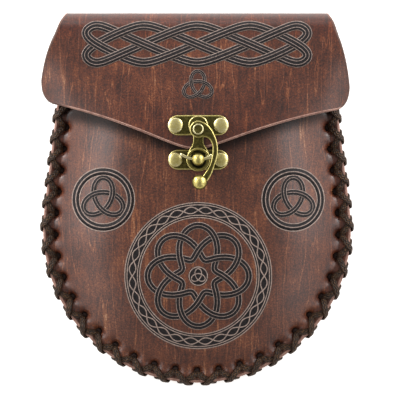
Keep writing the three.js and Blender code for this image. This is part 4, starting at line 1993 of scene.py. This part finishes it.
def plate_with_hole(
    outline: Sequence[Point], middle: Point, radius: float, bottom: float, top: float
) -> Mesh:
    """Raises the part of an outline that lies outside a circle.

    Args:
        outline: The outline's points; those inside the circle are pushed out to it.
        middle: The circle's middle.
        radius: The circle's radius.
        bottom: The height of the underside.
        top: The height of the top.

    Returns:
        The closed mesh.
    """
    ends = [outline[len(outline) // 2 - 1], outline[len(outline) // 2]]
    angles = [math.atan2(py - middle[1], px - middle[0]) for px, py in ends]
    notch = [
        (middle[0] + radius * math.cos(a), middle[1] + radius * math.sin(a)) for a in spread(*angles, 10)
    ]
    half = len(outline) // 2
    return plate([*outline[:half], *notch, *outline[half:]], bottom, top, 0.25)


# ------------------------------------------------------------------ knotwork


@dataclass
class Weave:
    """Closed paths that pass over and under each other in turn."""

    paths: list[list[Point]]
    step: float = 0.7
    lift: float = 0.1
    relief: float = 0.055

    @classmethod
    def of_curves(cls, curves: Sequence[Curve], step: float = 0.7) -> "Weave":
        """Walks closed curves at even steps.

        Args:
            curves: Each curve's place for a share of the way round.
            step: The length of a step.

        Returns:
            The weave.
        """
        paths = []
        for curve in curves:
            rough = [curve(share) for share in spread(0, 1, 1600)]
            lengths = [0.0]
            for a, b in zip(rough, rough[1:]):
                lengths.append(lengths[-1] + math.dist(a, b))
            count = max(round(lengths[-1] / step), 8)
            walked, k = [], 0
            for goal in spread(0, lengths[-1], count)[:-1]:
                while lengths[k + 1] < goal:
                    k += 1
                share = (goal - lengths[k]) / max(lengths[k + 1] - lengths[k], 1e-9)
                here, ahead = rough[k], rough[k + 1]
                walked.append((lerp(here[0], ahead[0], share), lerp(here[1], ahead[1], share)))
            paths.append(walked)
        return cls(paths, step)

    def _crossings(self) -> list[Crossing]:
        """Finds where paths cross: the two places, each a path and a step along it, and the sine."""
        cells: dict[tuple[int, int], list[tuple[int, int]]] = {}
        found = []
        reach = 2 * self.step
        for p, path in enumerate(self.paths):
            for k, spot in enumerate(path):
                cell = (int(spot[0] // reach), int(spot[1] // reach))
                for dx in (-1, 0, 1):
                    for dy in (-1, 0, 1):
                        for other in cells.get((cell[0] + dx, cell[1] + dy), []):
                            hit = self._meet((p, k), other)
                            if hit:
                                found.append(hit)
                cells.setdefault(cell, []).append((p, k))
        return found

    def _meet(self, one: tuple[int, int], two: tuple[int, int]) -> Crossing | None:
        """Crosses two steps of the paths.

        Args:
            one: A path and a step.
            two: Another.

        Returns:
            The two places and the sine of the angle between them, or None.
        """
        (p, i), (q, j) = one, two
        first, second = self.paths[p], self.paths[q]
        if p == q and min((i - j) % len(first), (j - i) % len(first)) < 3:
            return None
        a, b = first[i], first[(i + 1) % len(first)]
        c, d = second[j], second[(j + 1) % len(second)]
        ab, cd, ac = ((t[0] - f[0], t[1] - f[1]) for f, t in ((a, b), (c, d), (a, c)))
        cross = ab[0] * cd[1] - ab[1] * cd[0]
        if abs(cross) < 1e-9:
            return None
        s = (ac[0] * cd[1] - ac[1] * cd[0]) / cross
        t = (ac[0] * ab[1] - ac[1] * ab[0]) / cross
        if not (0 <= s < 1 and 0 <= t < 1):
            return None
        return (p, i + s), (q, j + t), abs(cross) / (math.hypot(*ab) * math.hypot(*cd))

    def runs(self, width: float) -> list[list[Spot]]:
        """Lifts the paths where they pass over, and lowers them where they pass under.

        Args:
            width: The bands' width.

        Returns:
            The closed runs to draw, each place with its height over the leather.
        """
        crossings = self._crossings()
        along: list[list[tuple[float, int]]] = [[] for _ in self.paths]
        for number, (one, two, _) in enumerate(crossings):
            along[one[0]].append((one[1], number))
            along[two[0]].append((two[1], number))
        order = [sorted(stops) for stops in along]
        layers = self._layers(order)
        drawn = []
        for p, stops in enumerate(order):
            count = len(self.paths[p])
            lifts = [self.lift] * count
            for k, (spot, number) in enumerate(stops):
                half = (width / 2 + 0.4) / (self.step * max(crossings[number][2], 0.3))
                change = self.relief if layers[(p, k)] is Layer.OVER else -self.relief
                for step in range(math.floor(spot - 1.6 * half), math.ceil(spot + 1.6 * half) + 1):
                    near = 1 - smooth(abs(step - spot), half, 1.5 * half)
                    lifts[step % count] += change * near
            run = [(x, y, lift) for (x, y), lift in zip(self.paths[p], lifts)]
            drawn.append([*run, run[0]])
        return drawn

    @staticmethod
    def _layers(order: Sequence[Sequence[tuple[float, int]]]) -> dict[tuple[int, int], Layer]:
        """Makes every path pass over and under in turn.

        Args:
            order: For each path its crossings in order.

        Returns:
            The layer of each path at each of its crossings.
        """
        twins: dict[int, list[tuple[int, int]]] = {}
        for p, stops in enumerate(order):
            for k, (_, number) in enumerate(stops):
                twins.setdefault(number, []).append((p, k))
        layers: dict[tuple[int, int], Layer] = {}
        flip = {Layer.OVER: Layer.UNDER, Layer.UNDER: Layer.OVER}
        for p, stops in enumerate(order):
            waiting = [((p, 0), Layer.OVER)] if stops else []
            while waiting:
                here, layer = waiting.pop()
                if here in layers:
                    continue
                layers[here] = layer
                path, k = here
                count = len(order[path])
                number = order[path][k][1]
                for twin in twins[number]:
                    if twin != here:
                        waiting.append((twin, flip[layer]))
                waiting.append(((path, (k + 1) % count), flip[layer]))
                waiting.append(((path, (k - 1) % count), flip[layer]))
        return layers


@dataclass
class Knotwork:
    """Traditional interlace burnt into the leather: a plait on the flap and roundels on the front."""

    shop: Workshop
    pattern: LeatherPattern
    wide: BurntBand = BurntBand("burnt wide band", 4.4, (0.36, 0.94))
    narrow: BurntBand = BurntBand("burnt narrow band", 3.1, (0.0, 0.92))
    ground: BurntBand = BurntBand("burnt ground", 1.0, ())
    line: BurntBand = BurntBand("rubbed line", 0.5, (0.0, 0.5, 1.0), 0.5)
    plait_centre: Point = (0.0, 84.5)
    plait_half: Point = (50.5, 8.6)
    roundel_centre: Point = (0.6, -21.5)
    roundel: Point = (26.8, 33.6)
    side_centre: Point = (43.5, 13.5)
    side_radius: float = 14.5
    small_centre: Point = (0.4, 65.0)
    fine: float = 0.42
    fine_reach: float = 0.4
    ground_lift: float = 0.03
    wall: float = 0.12

    def build(self) -> None:
        """Burns in the flap's and the front's knotwork."""
        finishes = [style.build() for style in (self.wide, self.narrow, self.ground, self.line)]
        self._flap(finishes)
        self._front(finishes)

    def _lay(
        self, weave: Weave, width: float, burn: Burn, on: Height, reach: float | None = None
    ) -> list[Mesh]:
        """Lays closed bands on the leather.

        Args:
            weave: The bands' middle lines.
            width: Their width.
            burn: Their finish.
            on: The height of the leather.
            reach: The width that crossings leave room for, if it isn't the bands' own.

        Returns:
            Their meshes.
        """
        meshes = []
        for run in weave.runs(reach or width):
            last = len(run) - 1

            def place(u: float, v: float) -> Vector:
                """The band's face, for a share across it and a share along it."""
                k = min(round(v * last), last)
                before, after = run[k - 1 if k > 0 else -2], run[k + 1 if k < last else 1]
                ahead = Vector((after[0] - before[0], after[1] - before[1])).normalized()
                x = run[k][0] + ahead.y * (u - 0.5) * width
                y = run[k][1] - ahead.x * (u - 0.5) * width
                return Vector((x, y, on(x, y) + run[k][2]))

            bm = laid_grid(4, last, place)
            bmesh.ops.remove_doubles(bm, verts=bm.verts, dist=1e-5)
            for face in bm.faces:
                face.material_index = burn.value
            meshes.append(bm)
        return meshes

    def _fill(self, inner: float, outer: float, centre: Point, on: Height) -> Mesh:
        """Burns a ring or disc of plain ground.

        Args:
            inner: Its inner radius.
            outer: Its outer radius.
            centre: Its middle.
            on: The height of the leather.

        Returns:
            Its mesh.
        """

        def place(u: float, v: float) -> Vector:
            """The ground's face, for a share out from its inner radius and a share round."""
            radius, angle = lerp(inner, outer, u), 2 * math.pi * v
            x, y = centre[0] + radius * math.cos(angle), centre[1] + radius * math.sin(angle)
            return Vector((x, y, on(x, y) + self.ground_lift))

        bm = laid_grid(max(int((outer - inner) / 1.2), 2), 120, place)
        bmesh.ops.remove_doubles(bm, verts=bm.verts, dist=WELD)
        for face in bm.faces:
            face.material_index = Burn.GROUND.value
        return bm

    def _flap(self, finishes: list[Material]) -> None:
        """Burns the plait across the flap and the small knot under it."""
        on = self.pattern.flap_face
        (cx, cy), (half_x, half_y) = self.plait_centre, self.plait_half

        def plait(share: float) -> Point:
            """The plait's one closed path."""
            turn = 2 * math.pi * share
            x, y = soft_wave(2 * turn + math.pi / 10), soft_wave(5 * turn)
            return cx + half_x * x, cy + half_y * y

        weave = Weave.of_curves([plait])
        parts = self._lay(weave, self.wide.width_mm, Burn.WIDE, on)
        small = Weave.of_curves([triquetra(self.small_centre, 2.35, 1.0)], 0.4)
        parts += self._lay(small, 1.7, Burn.NARROW, on)
        self._burn("flap_knotwork", parts, finishes)

    def _front(self, finishes: list[Material]) -> None:
        """Burns the roundel, its ring of twisted line and the two side knots."""
        on = self.pattern.dome
        cx, cy = self.roundel_centre
        inner, outer = self.roundel
        parts = [self._fill(inner, outer, self.roundel_centre, on)]
        rings = [circle(self.roundel_centre, r) for r in (inner, inner + 1.0, outer - 1.0, outer)]
        parts += self._lay(Weave.of_curves(rings), self.fine, Burn.LINE, on, self.fine_reach)

        def twist(phase: float) -> Curve:
            """One line of the ring's twist."""

            def place(share: float) -> Point:
                """The line's place for a share of the way round."""
                angle = 2 * math.pi * share
                radius = (inner + outer) / 2 + 1.5 * math.sin(14 * angle + phase)
                return cx + radius * math.cos(angle), cy + radius * math.sin(angle)

            return place

        twisted = Weave.of_curves([twist(0.0), twist(math.pi)], 0.5)
        parts += self._lay(twisted, 0.5, Burn.LINE, on)

        def rosette(share: float) -> Point:
            """The eight-looped knot's one closed path."""
            angle = 6 * math.pi * share
            radius = 15.6 + 7.6 * math.cos(8 * angle / 3)
            return cx + radius * math.sin(angle), cy + radius * math.cos(angle)

        parts += self._lay(Weave.of_curves([rosette]), self.narrow.width_mm, Burn.NARROW, on)
        parts.append(self._fill(0.0, 4.6, self.roundel_centre, on))
        boss = [circle(self.roundel_centre, 4.2), triquetra(self.roundel_centre, 1.15, 1.0)]
        for curve in boss:
            parts += self._lay(Weave.of_curves([curve], 0.35), self.fine, Burn.LINE, on, 0.5)
        for sign in SIDES.values():
            centre = (cx + sign * self.side_centre[0], self.side_centre[1])
            radius = self.side_radius
            parts.append(self._fill(radius - 3.4, radius, centre, on))
            rims = [circle(centre, r) for r in (radius, radius - 1.7, radius - 3.4)]
            parts += self._lay(Weave.of_curves(rims), self.fine, Burn.LINE, on, self.fine_reach)
            knot = Weave.of_curves([triquetra(centre, 3.35, sign)], 0.5)
            parts += self._lay(knot, 2.7, Burn.NARROW, on)
        self._burn("front_knotwork", parts, finishes)

    def _burn(self, name: str, parts: list[Mesh], finishes: list[Material]) -> None:
        """Joins the bands in one piece that is let into the leather.

        Args:
            name: The piece's name.
            parts: The bands' meshes, which are freed.
            finishes: The knotwork's finishes, by their number.
        """
        piece = self.shop.piece(name, joined(parts), finishes, "leather")
        self.shop.thicken(piece, self.wall)
        piece.modifiers["wall"].material_offset_rim = 0


def soft_wave(turn: float, crisp: float = 0.94) -> float:
    """A wave between -1 and 1 that runs straight between rounded turns."""
    return math.asin(crisp * math.cos(turn)) / math.asin(crisp)


def circle(centre: Point, radius: float) -> Curve:
    """A circle.

    Args:
        centre: Its middle.
        radius: Its radius.

    Returns:
        Its place for a share of the way round.
    """

    def place(share: float) -> Point:
        """The place on the circle."""
        angle = 2 * math.pi * share
        return centre[0] + radius * math.cos(angle), centre[1] + radius * math.sin(angle)

    return place


def triquetra(centre: Point, size: float, hand: float) -> Curve:
    """The three-looped knot.

    Args:
        centre: Its middle.
        size: A third of its reach.
        hand: 1, or -1 for its mirror image.

    Returns:
        Its place for a share of the way round.
    """

    def place(share: float) -> Point:
        """The place on the knot."""
        turn = 2 * math.pi * share
        x = math.sin(turn) + 2 * math.sin(2 * turn)
        y = math.cos(turn) - 2 * math.cos(2 * turn)
        return centre[0] + hand * size * x, centre[1] - size * y

    return place


# ------------------------------------------------------------------ studio


@dataclass(frozen=True)
class SoftBox:
    """A soft box that faces the pouch: its place and size in metres, and its power in watts."""

    name: str
    place: Spot
    size: Point  # along the floor, and up
    power: float


@dataclass
class Studio:
    """Pale paper, soft light and the camera over the pouch's front."""

    frame: PouchFrame
    view_centre: Vector = field(default_factory=lambda: Vector((1.4, 13.3, 8.0)))
    view_width: float = 184.0
    camera_distance: float = 1600.0
    room_light: float = 0.34
    room: str = "#f4f2f0"
    sensor: float = 36.0
    paper_half: float = 3.0
    boxes: tuple[SoftBox, ...] = (
        SoftBox("key_box", (-0.2, 1.15, 0.45), (0.7, 0.4), 2.0),
        SoftBox("left_box", (-1.0, 0.3, 0.7), (1.2, 0.8), 9.5),
        SoftBox("right_box", (1.0, 0.3, 0.7), (1.2, 0.8), 7.5),
        SoftBox("left_front_box", (-0.85, -0.6, 0.5), (0.5, 0.5), 1.2),
        SoftBox("right_front_box", (0.85, -0.6, 0.5), (0.5, 0.5), 1.2),
        SoftBox("left_low_box", (-0.85, 0.7, 0.24), (0.4, 0.4), 8.0),
        SoftBox("right_low_box", (0.85, 0.7, 0.24), (0.4, 0.4), 7.0),
    )

    def build(self) -> None:
        """Builds the studio."""
        self._floor()
        self._world()
        self._lights()
        self._camera()

    def _floor(self) -> None:
        """Lays the paper."""
        bm = bmesh.new()
        bmesh.ops.create_grid(bm, x_segments=1, y_segments=1, size=self.paper_half)
        mesh = as_mesh("paper", bm)
        mesh.materials.append(StudioPaper().build())
        paper = placed("paper", mesh)

    def _world(self) -> None:
        """Fills the room with even pale light."""
        world = bpy.data.worlds.new("studio")
        world.use_nodes = True
        world.node_tree.nodes.clear()
        tree = world.node_tree
        back = add_node(
            tree, "ShaderNodeBackground", inputs={"Color": linear(self.room), "Strength": self.room_light}
        )
        add_node(tree, "ShaderNodeOutputWorld", inputs={"Surface": back.outputs[0]})
        bpy.context.scene.world = world
        bpy.context.scene.view_settings.view_transform = "Standard"

    def _lights(self) -> None:
        """Hangs the soft boxes, each facing the pouch."""
        for box in self.boxes:
            lamp = bpy.data.lights.new(box.name, "AREA")
            lamp.shape = "RECTANGLE"
            lamp.size, lamp.size_y = box.size
            lamp.energy = box.power
            item = placed(box.name, lamp)
            item.location = Vector(box.place)
            item.rotation_euler = (-Vector(box.place)).to_track_quat("-Z", "Y").to_euler()

    def _camera(self) -> None:
        """Aims the camera straight at the pouch's front."""
        data = bpy.data.cameras.new("camera")
        data.sensor_width = self.sensor
        data.lens = self.sensor * self.camera_distance / self.view_width
        data.clip_end = 10.0
        camera = placed("camera", data)
        unit = self.frame.matrix.to_3x3().normalized().to_4x4()
        place = self.frame.matrix @ (self.view_centre + Vector((0, 0, self.camera_distance)))
        camera.matrix_world = Matrix.Translation(place) @ unit
        bpy.context.scene.camera = camera


def main() -> None:
    """Builds the pouch round its frame."""
    logging.basicConfig(level=logging.INFO, format="%(name)s %(message)s")
    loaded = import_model()
    frame = PouchFrame.from_joint(loaded["joints"][0], Vector(PIVOT))
    pattern = LeatherPattern()
    shop = Workshop(frame)
    leather, edge = WaxedLeather().build(), RawEdge().build()
    brass = AntiqueBrass().build()
    work = LeatherWork(shop, pattern, leather, edge)
    work.front()
    work.back_and_flap()
    BeltLoop(shop, pattern, leather, edge, brass).build()
    Lacing(shop, pattern, BraidedLace().build(), edge).build()
    Knotwork(shop, pattern).build()
    Clasp(shop, pattern, brass).build()
    Studio(frame).build()


if __name__ == "__main__":
    main()
